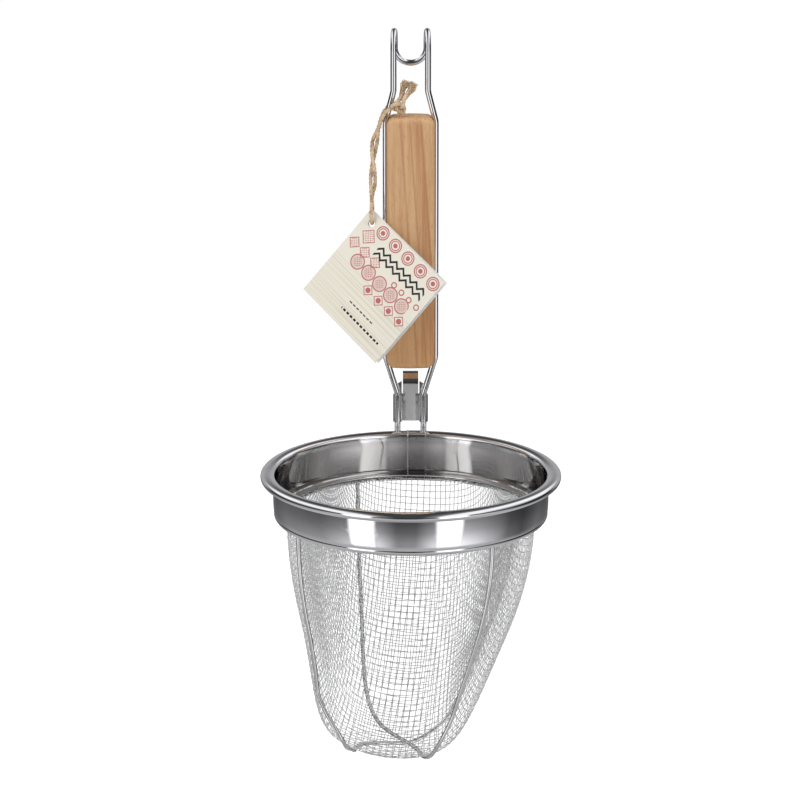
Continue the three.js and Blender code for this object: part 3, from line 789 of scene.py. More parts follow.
# Rows of red motifs, in shares of the tag's side: height, start, end, pitch, radius, line, and what is drawn.
ROW_LABELS = ("Row", "Start", "End", "Pitch", "Radius", "Line")
MOTIF_ROWS = (
    (0.085, 0.16, 1.0, 0.17, 0.060, 0.006, ("Ring",)),
    (0.085, 0.16, 1.0, 0.17, 0.042, 0.005, ("Ring",)),
    (0.085, 0.16, 1.0, 0.17, 0.022, 0.006, ("Disc",)),
    (0.205, 0.06, 0.26, 0.20, 0.078, 0.006, ("Diamond", "Spots")),
    (0.335, 0.02, 0.44, 0.14, 0.062, 0.006, ("Diamond", "Spots")),
    (0.445, 0.16, 0.90, 0.15, 0.068, 0.006, ("Ring", "Spots")),
    (0.565, 0.42, 0.98, 0.14, 0.056, 0.006, ("Diamond",)),
    (0.565, 0.42, 0.98, 0.14, 0.026, 0.006, ("Disc",)),
    (0.355, 0.60, 1.0, 0.10, 0.024, 0.006, ("Ring",)),
)
TINTED_ROW, TINT_SHARE = (0.445, 0.16, 0.90, 0.15, 0.062, 0.006, ("Disc",)), 0.28
SPOT_TURNS, SPOTTED_SHARE = 260.0, 0.72

# The dark zigzags' heights, start, end, rise and edges, and dashed rules: height, start, end and half width.
ZIGZAGS, ZIGZAG_START, ZIGZAG_END, ZIGZAG_RISE = (0.2275, 0.2875), 0.30, 0.93, 0.045
ZIGZAG_EDGES = (0.011, 0.015)
DASHED_RULES = ((0.76, 0.42, 0.74, 0.006), (0.855, 0.40, 0.90, 0.011))
DASHES, DASH_GAP = 22.0, 0.35


def motif_row(given):
    """A row of rings, discs, diamonds or spots across the tag, as masks."""
    across, down, _ = parts_of(given["Place"])
    pitch, radius, line = given["Pitch"], given["Radius"], given["Line"]
    cell = (((across - given["Start"]) / pitch).math("FRACT") - 0.5) * pitch
    aside = down - given["Row"]
    inside = (across > given["Start"]) * (across < given["End"])
    apart = (cell * cell + aside * aside).math("SQRT")
    beads = (cell * SPOT_TURNS).math("COSINE") * (aside * SPOT_TURNS).math("COSINE")

    def stroke(measure):
        return abs(measure - radius).between(line * 0.6, line * 1.3, 1.0, 0.0) * inside

    return {
        "Ring": stroke(apart),
        "Disc": (apart < radius) * inside,
        "Diamond": stroke(abs(cell) + abs(aside)),
        "Spots": beads.between(0.15, 0.45) * (apart < radius * SPOTTED_SHARE) * inside,
    }


def printed_card(place):
    """Cream card printed with fine lines, rows of red motifs and a dark zigzag band."""

    def motifs(row):
        values = {"Place": place, **dict(zip(ROW_LABELS, row))}
        drawn_row = group_results(place.tree, "motif row", motif_row, values)
        return most([drawn_row[kind] for kind in row[-1]])

    across, down, _ = parts_of(place)
    paper = noise(place, 90.0, 4.0, 0.7)
    base = mixed(paper * 0.2, colours().card, shaded(colours().card, 0.94))
    lower = (noise(place, (2.0, 3.0, 1.0), 2.0) * 0.12 + down).between(0.50, 0.64)
    lines = noise(place, (0.5, 74.0, 1.0), 2.0, 0.6).between(0.50, 0.58) * lower
    base = mixed(lines * 0.62, base, colours().card_lines)
    red = most([motifs(row) for row in MOTIF_ROWS] + [motifs(TINTED_ROW) * TINT_SHARE])
    base = mixed(red * 0.92, base, colours().card_red)
    wave = (across - ZIGZAG_START).math("PINGPONG", ZIGZAG_RISE) + down
    bands = most([abs(wave - level).between(*ZIGZAG_EDGES, 1.0, 0.0) for level in ZIGZAGS])
    dark = bands * ((across > ZIGZAG_START) * (across < ZIGZAG_END))
    dashes = (across * DASHES).math("FRACT") > DASH_GAP
    for level, start, end, half in DASHED_RULES:
        rule = (abs(down - level) < half) * ((across > start) * (across < end))
        dark = most([dark, rule * dashes])
    return {
        "Base Color": mixed(dark, base, colours().card_dark),
        "Roughness": paper.between(0.3, 0.7, 0.55, 0.72),
        "Normal": bump(paper, 0.08, 0.00004),
    }


def card_place(tree):
    return made(tree, "ShaderNodeUVMap", uv_map="card")


def plain_card(place):
    paper = noise(place, 1800.0, 4.0, 0.7)
    return {
        "Base Color": mixed(paper, colours().card_back, shaded(colours().card_back, 0.95)),
        "Roughness": paper.between(0.3, 0.7, 0.7, 0.9),
    }


class STRAINER_OT_tag(bpy.types.Operator):
    """Fold and punch the card tag"""

    bl_idname = "strainer.tag"
    bl_label = "Folded tag"

    OPENING, FOLD_STEPS = 3.0, 10
    BACK_BOW, BOW_STEPS = 0.5, 12
    PUNCH, PUNCH_SIDES = 16.0, 48
    FACING, OUTER = 0.9, 0.1

    def execute(self, context):
        side, card = sizes().tag_side / MM, sizes().card / MM
        fold = (card + TAG_FOLD_GAP) / 2
        slope = math.radians(self.OPENING)
        back = []
        for step in range(1, self.BOW_STEPS + 1):
            share = step / self.BOW_STEPS
            run = fold + (side - fold) * share
            bow = self.BACK_BOW * math.sin(math.pi * share)
            back.append((run * math.cos(slope), card / 2 + 2 * fold + run * math.sin(slope) - bow))
        crease = arc((fold, card / 2 + fold), fold, 270, 90, self.FOLD_STEPS)
        section = [(side, card / 2)] + crease + back
        turn = tag_turn()
        across, up = Vector((1, 0, -1)).normalized(), Vector((1, 0, 1)).normalized()
        hole = Vector(TAG_HOLE)
        top = Vector((0, 0, TAG_HOLE_INSET))

        def place(run, behind, along):
            local = across * run + Vector((0, behind, 0)) - up * along + top
            return at(*(turn @ local + hole))

        bottom = place(0, 0, side) - place(0, 0, 0)
        leaves = thicken(drawn("tag_leaves", [place(r, b, 0) for r, b in section], bottom), sizes().card)
        bm = bmesh.new()
        radius = sizes().tag_hole / 2
        bmesh.ops.create_cone(
            bm, cap_ends=True, segments=self.PUNCH_SIDES, radius1=radius, radius2=radius, depth=self.PUNCH * MM
        )
        stand = turn.to_4x4() @ Matrix.Rotation(math.radians(90), 4, "X")
        bmesh.ops.transform(bm, matrix=Matrix.Translation(at(*hole)) @ stand, verts=bm.verts[:])
        punched = combine(leaves, form_of(bm, "tag_punch"), "DIFFERENCE")
        mesh = punched.data.copy()
        bpy.data.objects.remove(punched)
        show("tag_leaves", mesh, material_of("plain card", plain_card), ["tag_card"], body="tag")
        mesh.materials.append(material_of("printed card", printed_card, card_place))
        self.mark_print(mesh, turn, side, across, up)
        return {"FINISHED"}

    def mark_print(self, mesh, turn, side, across, up):
        """A UV map across and down the tag, and the printed card on its outer faces."""
        layer = mesh.uv_layers.new(name="card")
        hole = at(*TAG_HOLE)
        back_to_tag = turn.transposed()
        front = turn @ Vector((0, -1, 0))
        for polygon in mesh.polygons:
            if polygon.normal.dot(front) > self.FACING:
                local = back_to_tag @ (polygon.center - hole)
                polygon.material_index = 1 if local.y < self.OUTER * MM else 0
            for index in polygon.loop_indices:
                spot = back_to_tag @ (mesh.vertices[mesh.loops[index].vertex_index].co - hole)
                spot = spot / MM - Vector((0, 0, TAG_HOLE_INSET))
                layer.data[index].uv = (spot.dot(across) / side, -spot.dot(up) / side)


# Wire cloth basket

MOUTH_RADIUS, SHOULDER_DEPTH = 57.3, 43.7
WAIST_RADIUS, WAIST_DEPTH = 48.7, 70.6
HEEL = (31.5, -124.4)
FLOOR_RADIUS, BASKET_DEPTH = 37.2, 132.6
HEM_HEIGHT = -18.4
HEM_REACH = 3.4
LEAN_LEFT, LEAN_FORWARD, LEAN_POWER, LEAN_TILT = 12.0, 2.4, 1.73, 0.77
CLOTH_TURN = math.radians(-5)
CLOTH_PROUD = 0.35


def basket_meridian():
    """Distance from the floor's middle, radius and height along the basket's wall, in millimetres."""
    t = np.linspace(0, 1, 600)[:, None]
    mouth, shoulder, waist = np.array([
        (MOUTH_RADIUS, HEM_HEIGHT), (MOUTH_RADIUS, -SHOULDER_DEPTH), (WAIST_RADIUS, -WAIST_DEPTH)
    ])
    edge, middle, heel = np.array([(FLOOR_RADIUS, -BASKET_DEPTH), (0.0, -BASKET_DEPTH), HEEL])
    wall = mouth * (1 - t) ** 2 + 2 * shoulder * t * (1 - t) + waist * t**2
    cup = waist * (1 - t) ** 3 + 3 * heel * t * (1 - t) ** 2 + 3 * edge * t**2 * (1 - t) + middle * t**3
    points = np.vstack([wall, cup[1:]])[::-1]
    steps = np.hypot(*np.diff(points, axis=0).T)
    return np.concatenate([[0.0], np.cumsum(steps)]), points[:, 0], points[:, 1]


DISTANCES, RADII, HEIGHTS = basket_meridian()
WALL_LENGTH = DISTANCES[-1]


def on_basket(distance, azimuth):
    """Points on the leaning cup, in millimetres from the rim's middle."""
    radius = np.interp(distance, DISTANCES, RADII)
    height = np.interp(distance, DISTANCES, HEIGHTS)
    depth = HEM_HEIGHT + BASKET_DEPTH
    sunk = np.maximum(HEM_HEIGHT - height, 0) / depth
    lean = sunk**LEAN_POWER
    tilt = LEAN_TILT * LEAN_LEFT * LEAN_POWER * sunk ** (LEAN_POWER - 1) / depth
    right = radius * np.sin(azimuth)
    behind = -radius * np.cos(azimuth)
    return np.stack([right - LEAN_LEFT * lean, behind - LEAN_FORWARD * lean, height - tilt * right], axis=-1)


def off_basket(distance, azimuth):
    """Directions straight out of the cup."""
    start = np.maximum(distance, 2.0)
    turn = 1.0 / np.interp(start, DISTANCES, RADII)
    upward = on_basket(start + 1, azimuth) - on_basket(start - 1, azimuth)
    sideways = on_basket(start, azimuth + turn) - on_basket(start, azimuth - turn)
    normal = np.cross(sideways, upward)
    return normal / np.linalg.norm(normal, axis=-1, keepdims=True)


def eased_step(value, low, high):
    """From 0 below low to 1 above high, eased at both."""
    share = np.clip((value - low) / (high - low), 0, 1)
    return share * share * (3 - 2 * share)


def on_cloth(across, along, lift):
    """Points of the flat cloth pressed into the cup, lifted off it, and out into the hem at its edge."""
    distance = np.hypot(across, along)
    angle = np.arctan2(across, along)
    quarter = np.round(angle / (np.pi / 2)) * (np.pi / 2)
    share = np.abs(angle - quarter) / (np.pi / 4)
    held = np.minimum(distance, WALL_LENGTH)
    radius = np.interp(held, DISTANCES, RADII)
    crowding = np.maximum(held / np.maximum(radius, 1e-6), 1.0)
    squeezed = (share + 1 - (1 - share) ** (2 * crowding - 1)) / 2
    azimuth = CLOTH_TURN + quarter + np.sign(angle - quarter) * np.pi / 4 * squeezed
    normal = off_basket(np.minimum(held, WALL_LENGTH - 1.2), azimuth)
    points = on_basket(held, azimuth) + normal * (CLOTH_PROUD + lift)[:, None]
    out = np.stack([np.sin(azimuth), -np.cos(azimuth), np.zeros_like(azimuth)], axis=-1)
    return points + out * np.maximum(distance - WALL_LENGTH, 0)[:, None]


class STRAINER_OT_basket(bpy.types.Operator):
    """Weave the basket's wire cloth"""

    bl_idname = "strainer.basket"
    bl_label = "Wire cloth basket"

    def execute(self, context):
        pitch, wire = sizes().cloth_pitch / MM, sizes().cloth_wire
        woven_wire = steel("woven steel wire", colours().cloth, (300.0, 300.0, 300.0), (0.44, 0.56))
        for name, way, nodes in (("cloth_warp", 1, ["mesh_basket"]), ("cloth_weft", -1, [])):
            runs = self.woven(pitch, wire / MM / 2, way)
            show_wires(name, runs, wire / 2, 1, woven_wire, nodes)
        return {"FINISHED"}

    def woven(self, pitch, lift, way):
        """One direction of wires, over and under the other direction's in turn."""
        reach = WALL_LENGTH + HEM_REACH
        count = int(reach / pitch)
        runs = []
        for row in range(-count - 1, count + 1):
            aside = (row + 0.5) * pitch
            if abs(aside) > reach - pitch:
                continue
            half = math.sqrt(reach**2 - aside**2)
            stations = np.arange(-int(2 * half / pitch), int(2 * half / pitch) + 1)
            along = stations * pitch / 2
            crossing = stations % 2 != 0
            parity = np.where(((stations - 1) // 2 + row) % 2 == 0, 1.0, -1.0)
            over = np.where(crossing, parity, 0.0) * way * lift
            across = np.full_like(along, aside)
            points = on_cloth(across, along, over) if way > 0 else on_cloth(along, across, over)
            runs.append([at(*p) for p in points])
        return runs


# Rim


class STRAINER_OT_rim(bpy.types.Operator):
    """Spin the rolled collar, its lapped seam and the ring that clamps the cloth"""

    bl_idname = "strainer.rim"
    bl_label = "Rim"

    BEAD_PLACE, BEAD_RADIUS, BEAD_CURL = (67.9, 0.0), 1.75, 155
    CROWN_PLACE, CROWN_HALF_WIDTH = 66.55, 3.1
    WALL_RADIUS, WALL_BULGE, WALL_LOW, WALL_HIGH = 63.45, 0.35, -16.9, -2.4
    CREASE, CREASE_HEIGHT = 0.16, -17.35
    CORNER_PLACE, CORNER_RADIUS = (61.5, -17.7), 1.95
    FLANGE_INSIDE, FLANGE_HEIGHT = 58.2, -19.65
    CORNER_STEPS, WALL_STEPS, CROWN_STEPS, BEAD_STEPS, LAP_STEPS = 8, 8, 22, 18, 6
    LAP_SHEET, LAP_FROM, LAP_TO, LAP_CURL = 0.16, -1.3, 7.1, 20
    SEAM_RIDGES = ((LAP_FROM, 0.30), (LAP_TO, 0.13))
    RING = (
        (56.7, -17.5), (62.8, -17.5), (62.8, -16.3), (60.2, -16.3), (59.8, -16.7), (56.7, -16.7), (56.7, -17.5)
    )
    RING_EDGE = 0.12

    # Where the inner wall's mask of painted shade fades, in metres: outwards from its middle, at its top and at
    # its bottom.
    FADE_OUT, FADE_TOP, FADE_BOTTOM = (0.0002, 0.0001), (-0.0010, -0.0024), (-0.0172, -0.0168)

    def execute(self, context):
        # The collar's inner wall is darkened by painted shade.
        polished = steel(
            "polished rim steel", colours().polished, (18.0, 1.0, 5200.0), (0.05, 0.17), round_the_rim,
            shade=0.14, matt_of=self.smudges, painted_shade_of=self.inner_wall_painted_shade,
        )
        section = (
            [(self.FLANGE_INSIDE, self.FLANGE_HEIGHT)]
            + arc(self.CORNER_PLACE, self.CORNER_RADIUS, -90, 0, self.CORNER_STEPS)
            + [(self.WALL_RADIUS - self.CREASE, self.CREASE_HEIGHT)]
            + self.wall_and_bead(0.0, self.BEAD_CURL)
        )
        collar = thicken(turned("rim_collar_sheet", section), sizes().collar_sheet)
        show_form("rim_collar_sheet", collar, polished, ["rim_collar"])
        self.lap_seam(polished)
        ring = soften(turned("mesh_clamp_ring_steel", self.RING), self.RING_EDGE * MM)
        show_form("mesh_clamp_ring_steel", ring, polished, ["mesh_clamp_ring"])
        return {"FINISHED"}

    def smudges(self, tree):
        """Faint dull marks of handling."""
        return noise(object_place(tree), 170.0, 4.0).between(0.54, 0.72, 0.0, 0.28)

    def inner_wall_painted_shade(self, tree):
        """Mask of painted shade on the wall's inner face, which darkens the steel's colour there."""
        place = rim_place(tree)
        away = vector_math("LENGTH", vector_math("MULTIPLY", place, (1.0, 1.0, 0.0)), output="Value")
        height = parts_of(place)[2]
        inside = away.between(*(self.WALL_RADIUS * MM + fade for fade in self.FADE_OUT))
        return inside * (height.between(*self.FADE_TOP) * height.between(*self.FADE_BOTTOM))

    def wall_and_bead(self, inwards, curl):
        """Section up the slightly bulging wall, over the crown and round the bead, moved inwards."""
        wall = []
        for step in range(self.WALL_STEPS + 1):
            share = step / self.WALL_STEPS
            bulge = self.WALL_BULGE * 4 * share * (1 - share)
            height = self.WALL_LOW + (self.WALL_HIGH - self.WALL_LOW) * share
            wall.append((self.WALL_RADIUS - inwards + bulge, height))
        radius = self.BEAD_RADIUS + inwards
        broad = (self.CROWN_HALF_WIDTH + inwards) / radius
        over = arc((0.0, 0.0), radius, 180, 0, self.CROWN_STEPS)
        crown = [(self.CROWN_PLACE + x * broad, z) for x, z in over]
        return wall + crown + arc(self.BEAD_PLACE, radius, 0, -curl, self.BEAD_STEPS)[1:]

    def lap_seam(self, polished):
        """The strip of sheet inside the back of the collar where its two ends lap, and its welded edges."""
        inwards = (sizes().collar_sheet / MM + self.LAP_SHEET) / 2
        section = self.wall_and_bead(inwards, self.LAP_CURL)
        first = math.pi - self.LAP_TO / self.WALL_RADIUS
        turn = (self.LAP_TO - self.LAP_FROM) / self.WALL_RADIUS
        strip = turned("rim_collar_lap", section, angle=turn, steps=self.LAP_STEPS, start=first)
        show_form("rim_collar_lap", thicken(strip, self.LAP_SHEET * MM), polished)
        for order, (aside, width) in enumerate(self.SEAM_RIDGES, 1):
            angle = math.pi - aside / self.WALL_RADIUS
            run = [at(math.sin(angle) * r, -math.cos(angle) * r, z) for r, z in section]
            show_wires(f"rim_collar_seam_{order}", [run], width * MM, 3, polished)


# Ribs


class STRAINER_OT_ribs(bpy.types.Operator):
    """Bend the two wires under the basket"""

    bl_idname = "strainer.ribs"
    bl_label = "Ribs"

    # Each rib: the azimuths of its ends, how far from the floor's middle it passes, how far it dips under the
    # other one there, and how far its sides sway round at the heel. Dips and sways end at shares of the way up.
    RIBS = ((39, 206, 14.2, 0.0, (-6, 0)), (-240, -62, 11.0, 2.2, (0, 27)))
    TOP = 140.39
    STEPS, SPACING = 90, 0.8
    SEAT = 0.36
    DIPS = ((0.12, 0.20), (0.09, 0.15))
    SWAY_TO, SWAY_FROM, SWAY_CLEAR = 0.21, 0.40, 1.35

    def execute(self, context):
        drawn_wire = steel("drawn rib wire", colours().ribs, (900.0, 900.0, 60.0), (0.05, 0.11), scratch=0.0)
        radius = sizes().rib_wire / 2
        for order, (first, last, miss, under, sways) in enumerate(self.RIBS, 1):
            distance = miss + (self.TOP - miss) * np.linspace(0, 1, self.STEPS) ** 2
            share = distance / self.TOP
            swing = np.arcsin((miss / distance) ** 2) * (last - first) / np.pi
            at_heel = 1 - eased_step(share, self.SWAY_TO, self.SWAY_FROM)
            sway = at_heel * eased_step(distance / miss, 1, self.SWAY_CLEAR)
            sides = []
            turns = (first + swing + sways[0] * sway, last - swing + sways[1] * sway)
            for degrees, (dip_to, dip_from) in zip(turns, self.DIPS):
                azimuth = np.radians(degrees)
                dip = 1 - eased_step(share, dip_to, dip_from)
                off = self.SEAT + radius / MM + under * dip
                sides.append(on_basket(distance, azimuth) + off_basket(distance, azimuth) * off[:, None])
            run = eased([at(*p) for p in np.vstack([sides[0][::-1], sides[1][1:]])], self.SPACING * MM)
            name = f"rib_wire_{order}"
            show_wires(f"{name}_drawn", [run], radius, 5, drawn_wire, [name])
        return {"FINISHED"}


# Handle


def handle_corners(side):
    """Corners and bend radii of one shank, from its foot behind the rim to the hook's end."""
    rows = [
        (12.4, 65.248, -17.0, 0.0), (12.4, 65.248, -11.352, 3.0), (12.4, 72.1, -4.5, 3.0),
        (12.4, 72.1, 1.5, 3.0), (12.4, 68.0, 5.6, 3.0), (12.4, 68.0, 20.3, 8.0),
        (23.5, 68.0, 38.2, 8.0), (23.5, 68.0, 153.3, 8.0), (16.2, 68.0, 167.7, 8.0),
        (16.2, 68.0, 194.7, 8.0), (15.0, 84.0, 194.7, 8.0), (15.0, 84.0, 177.9, 7.5),
    ]
    return [(at(side * spread / 2, y, z), radius * MM) for spread, y, z, radius in rows]


def rod_run():
    return bent(handle_corners(-1) + handle_corners(1)[::-1])


class STRAINER_OT_handle(bpy.types.Operator):
    """Bend the handle's rod"""

    bl_idname = "strainer.handle"
    bl_label = "Handle rod"

    def execute(self, context):
        polished = steel(
            "polished rod steel", colours().polished, (900.0, 900.0, 30.0), (0.04, 0.08), shade=0.02,
            scratch=0.0,
        )
        show_wires("handle_rod", [rod_run()], sizes().rod / 2, 8, polished, ["handle_wire"])
        return {"FINISHED"}


# Wooden grip

# The dark streak slants across the grip and wanders. Its edges and its lines are in metres from its middle.
STREAK_SLANT, STREAK_WANDER = 0.069, 0.0016
STREAK_LEFT, STREAK_RIGHT = (-0.0085, 0.0012), (0.0032, 0.0018)
STREAK_LINES = ((0.0019, 0.0011, 0.62), (-0.0032, 0.0009, 0.5), (-0.0077, 0.0010, 0.42))
# Both ends of the grip, by distance from its middle in metres, carry a painted highlight and end-grain pores.
GRIP_MIDDLE, GRIP_END_HIGHLIGHT_AND_PORES = -0.09825, (0.0575, 0.0604)
# From its middle down, the grip is tinted warmer and darker towards the bottom.
WARM_TINT, WARM_FROM = (1.0, 0.93, 0.83, 1.0), (-0.095, -0.150)


def sanded_beech(place):
    """Sanded beech: long grain, short dark flecks, a reddish streak, and end-grain pores and a painted
    highlight at both ends.
    """
    x, _, z = parts_of(place)
    drift = noise(place, (60.0, 60.0, 9.0))
    long_grain = noise(place, (420.0, 300.0, 14.0), 4.0, 0.6)
    fibres = noise(place, (3200.0, 2400.0, 160.0), 3.0, 0.6)
    flecks = noise(place, (2600.0, 1800.0, 420.0), 2.0)
    pores = noise(place, (1500.0, 1500.0, 500.0), 3.0, 0.6)
    pale, streak = colours().beech, colours().beech_streak
    lighter = shaded(pale, 1.12)
    grain = long_grain * 0.6 + fibres * 0.4
    base = mixed(grain.between(0.36, 0.68), pale, colours().beech_dark)
    base = mixed(drift.between(0.35, 0.65, 0.0, 0.5), base, lighter)
    aside = z * STREAK_SLANT + x + (drift - 0.5) * STREAK_WANDER
    broad = aside.between(*STREAK_LEFT) * aside.between(*STREAK_RIGHT)
    lines = [abs(aside - middle).between(0.0001, width, share, 0.0) for middle, width, share in STREAK_LINES]
    base = mixed(most([broad * long_grain.between(0.3, 0.7, 0.15, 0.55)] + lines), base, streak)
    spots = flecks.between(0.62, 0.72) * 0.42
    base = mixed(spots, base, streak)
    ends = abs(z - GRIP_MIDDLE).between(*GRIP_END_HIGHLIGHT_AND_PORES)
    # Painted highlight: both ends are lightened as if their rounded edges caught the light.
    base = mixed(ends * 0.6, base, lighter)
    # End-grain pores at both ends.
    base = mixed(ends * pores.between(0.54, 0.60, 0.0, 0.45), base, streak)
    return {
        "Base Color": mixed(z.between(*WARM_FROM), base, WARM_TINT, "MULTIPLY"),
        "Roughness": grain.between(0.3, 0.7, 0.5, 0.68),
        "Normal": bump(fibres * 0.5 + spots * -0.8, 0.22, 0.00012),
        "Specular IOR Level": 0.35,
    }


class STRAINER_OT_grip(bpy.types.Operator):
    """Shape and groove the beech grip"""

    bl_idname = "strainer.grip"
    bl_label = "Beech grip"

    LENGTH, WIDTH, THICKNESS = 122.2, 22.6, 12.5
    FOOT, SETBACK = 33.9, 68.0
    CORNER, EDGE, BULGE = 4.0, 2.0, 0.2
    CORNER_STEPS, EDGE_STEPS, END_CUTS = 9, 6, 13
    GROOVE = 1.75

    def execute(self, context):
        bm = bmesh.new()
        bmesh.ops.create_cube(bm, size=1.0)
        size = Vector((self.WIDTH, self.THICKNESS, self.LENGTH - 2 * self.BULGE))
        bmesh.ops.scale(bm, vec=size, verts=bm.verts[:])
        half = size / 2

        def end_edges(axis):
            """Edges at both ends of the block that run along an axis."""
            return [
                edge for edge in bm.edges
                if all(abs(abs(v.co.z) - half.z) < 1e-4 for v in edge.verts)
                and abs(edge.verts[0].co[axis] - edge.verts[1].co[axis]) > 1.0
            ]

        def rounded(edges, offset, segments):
            bmesh.ops.bevel(
                bm, geom=edges, offset=offset, affect="EDGES", segments=segments, profile=0.5, material=-1
            )

        rounded(end_edges(1), self.CORNER, self.CORNER_STEPS)
        bmesh.ops.subdivide_edges(bm, edges=end_edges(0), cuts=self.END_CUTS, use_grid_fill=True)
        rims = [e for e in bm.edges if sum(abs(f.normal.y) > 0.99 for f in e.link_faces) == 1]
        rounded(rims, self.EDGE, self.EDGE_STEPS)
        flat = half.x - self.CORNER
        for vertex in bm.verts:
            if abs(vertex.co.z) > half.z - self.EDGE - 0.1:
                rise = self.BULGE * max(0.0, 1 - (vertex.co.x / flat) ** 2)
                vertex.co.z += math.copysign(rise, vertex.co.z)
        middle = at(0, self.SETBACK, self.FOOT + self.LENGTH / 2)
        bmesh.ops.scale(bm, vec=(MM, MM, MM), verts=bm.verts[:])
        bmesh.ops.translate(bm, vec=middle, verts=bm.verts[:])
        block = form_of(bm, "beech_grip")
        groove = wires("grip_groove", [rod_run()], self.GROOVE * MM, 6)
        grooved = combine(block, link(bpy.data.objects.new("grip_groove", groove)), "DIFFERENCE")
        grooved.modifiers.new("even shading", "WEIGHTED_NORMAL").keep_sharp = True
        smooth_below(grooved.data, SHARP_GRIP)
        beech = material_of("sanded beech", sanded_beech)
        show("beech_grip", evaluated_mesh(grooved), beech, ["wooden_grip"])
        return {"FINISHED"}


# Clip


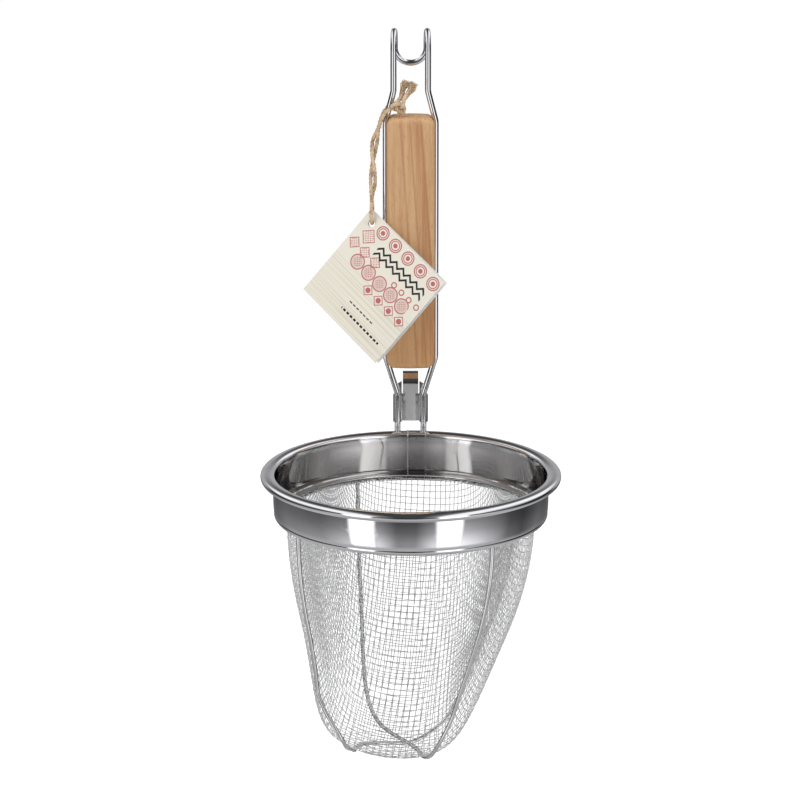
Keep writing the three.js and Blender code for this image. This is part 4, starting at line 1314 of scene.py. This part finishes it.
class STRAINER_OT_clip(bpy.types.Operator):
    """Curl the sheet clip round the shanks, with its pot hook and ears"""

    bl_idname = "strainer.clip"
    bl_label = "Sheet clip"

    SETBACK, BOTTOM, HEIGHT = 68.0, 6.6, 13.4
    CURL_RADIUS, CURL, CURL_STEPS = 1.9, 255, 26
    ROD_ASIDE = 6.2
    CHANNEL, CHANNEL_DEPTH = 2.4, 1.0
    SLOPE, SLOPE_DEPTH, LEVEL, RISE_STEPS = 0.8, 0.27, 0.8, 8
    TONGUE, TONGUE_RISE, TONGUE_REACH, TONGUE_DROP = 7.4, 9.6, 10.0, 8.0
    EAR_GAP, EAR_HEIGHT, EAR_SLANT = 0.5, 6.0, 1.2
    EAR_ROOT, TONGUE_ROOT, ARCH_STEPS = 0.6, 1.0, 18

    # Where the matt middle's mask fades, in metres: beside the channel, beside the tongue, at its foot and at
    # its bend.
    FADE_CHANNEL, FADE_TONGUE, FADE_TOP, FADE_BEND = (0.0025, 0.0023), (0.0040, 0.0038), 0.0003, 0.0008

    def execute(self, context):
        sheet = sizes().clip_sheet
        brushed = steel(
            "brushed clip steel", colours().brushed, (900.0, 900.0, 30.0), (0.05, 0.09), shade=0.04,
            scratch=0.0, matt_of=self.matt_middle,
        )
        plane = self.CURL_RADIUS - self.CHANNEL_DEPTH
        level = plane + self.SLOPE_DEPTH
        inside = self.CHANNEL + self.SLOPE + self.LEVEL
        right = [(self.CHANNEL, plane), (self.CHANNEL + self.SLOPE, level)]
        for step in range(self.RISE_STEPS):
            share = step / self.RISE_STEPS
            rise = share * share * (3 - 2 * share)
            right.append((
                inside + (self.ROD_ASIDE - inside) * share, level + (self.CURL_RADIUS - level) * rise
            ))
        right += arc((self.ROD_ASIDE, 0.0), self.CURL_RADIUS, 90, 90 - self.CURL, self.CURL_STEPS)
        section = [(-x, y) for x, y in reversed(right)] + right
        rail = [at(x, self.SETBACK + y, self.BOTTOM) for x, y in section]
        sleeves = thicken(drawn("wire_clip_sheet", rail, (0, 0, self.HEIGHT * MM)), sheet)
        top = self.BOTTOM + self.HEIGHT
        plane += self.SETBACK
        bow = self.TONGUE_REACH / 2
        arch = (plane + bow, top + self.TONGUE_RISE - bow)
        side = (
            [(plane, top - self.TONGUE_ROOT)] + arc(arch, bow, 180, 0, self.ARCH_STEPS)
            + [(plane + self.TONGUE_REACH, top + self.TONGUE_RISE - bow - self.TONGUE_DROP)]
        )
        line = [at(-self.TONGUE / 2, y, z) for y, z in side]
        tongue = thicken(drawn("wire_clip_tongue", line, (self.TONGUE * MM, 0, 0)), sheet)
        clip = combine(sleeves, tongue, "UNION")
        for facing in (-1, 1):
            clip = combine(clip, self.ear(facing, top, sheet), "UNION")
        show_form("wire_clip_sheet", clip, brushed, ["wire_clip"])
        return {"FINISHED"}

    def matt_middle(self, tree):
        """Mask of the channel and the tongue up to its bend, which are duller than the curled sleeves."""
        x, _, height = parts_of(object_place(tree))
        top = at(0, 0, self.BOTTOM + self.HEIGHT).z
        bend = top + (self.TONGUE_RISE - self.TONGUE_REACH / 2) * MM
        tongue = abs(x).between(*self.FADE_TONGUE) * height.between(top, top + self.FADE_TOP)
        inside = most([abs(x).between(*self.FADE_CHANNEL), tongue])
        return inside * height.between(bend + self.FADE_BEND, bend)

    def ear(self, facing, top, sheet):
        bm = bmesh.new()
        inside, outside = self.TONGUE / 2 + self.EAR_GAP, self.ROD_ASIDE
        back = self.SETBACK + self.CURL_RADIUS - sheet / MM / 2
        corners = [
            (inside, top - self.EAR_ROOT), (outside, top - self.EAR_ROOT),
            (outside, top + self.EAR_HEIGHT - self.EAR_SLANT), (inside, top + self.EAR_HEIGHT),
        ]
        face = bm.faces.new([bm.verts.new(at(facing * x, back, z)) for x, z in corners])
        move_new(bm, bmesh.ops.extrude_face_region(bm, geom=[face]), (0, sheet, 0))
        return form_of(bm, "wire_clip_ear")


# Sidebar and running

STEPS = (
    STRAINER_OT_stage, STRAINER_OT_twine, STRAINER_OT_tag, STRAINER_OT_basket, STRAINER_OT_rim,
    STRAINER_OT_ribs, STRAINER_OT_handle, STRAINER_OT_grip, STRAINER_OT_clip,
)


class STRAINER_PT_pieces(bpy.types.Panel):
    """Lists the strainer's pieces, sizes and colours"""

    bl_idname = "STRAINER_PT_pieces"
    bl_label = "Noodle strainer"
    bl_space_type = "VIEW_3D"
    bl_region_type = "UI"
    bl_category = "Strainer"

    def draw(self, context):
        for step in STEPS:
            self.layout.operator(step.bl_idname)
        for group in (context.scene.strainer_sizes, context.scene.strainer_colours):
            for name in group.bl_rna.properties.keys():
                if name not in ("rna_type", "name"):
                    self.layout.prop(group, name)


CLASSES = (StrainerSizes, StrainerColours) + STEPS + (STRAINER_PT_pieces,)


def register():
    for kind in CLASSES:
        bpy.utils.register_class(kind)
    bpy.types.Scene.strainer_sizes = bpy.props.PointerProperty(type=StrainerSizes)
    bpy.types.Scene.strainer_colours = bpy.props.PointerProperty(type=StrainerColours)


def unregister():
    del bpy.types.Scene.strainer_colours
    del bpy.types.Scene.strainer_sizes
    for kind in reversed(CLASSES):
        bpy.utils.unregister_class(kind)


def main():
    register()
    bpy.ops.strainer.stage()
    bpy.ops.strainer.twine()
    bpy.ops.strainer.tag()
    bpy.ops.strainer.basket()
    bpy.ops.strainer.rim()
    bpy.ops.strainer.ribs()
    bpy.ops.strainer.handle()
    bpy.ops.strainer.grip()
    bpy.ops.strainer.clip()


if __name__ == "__main__":
    main()
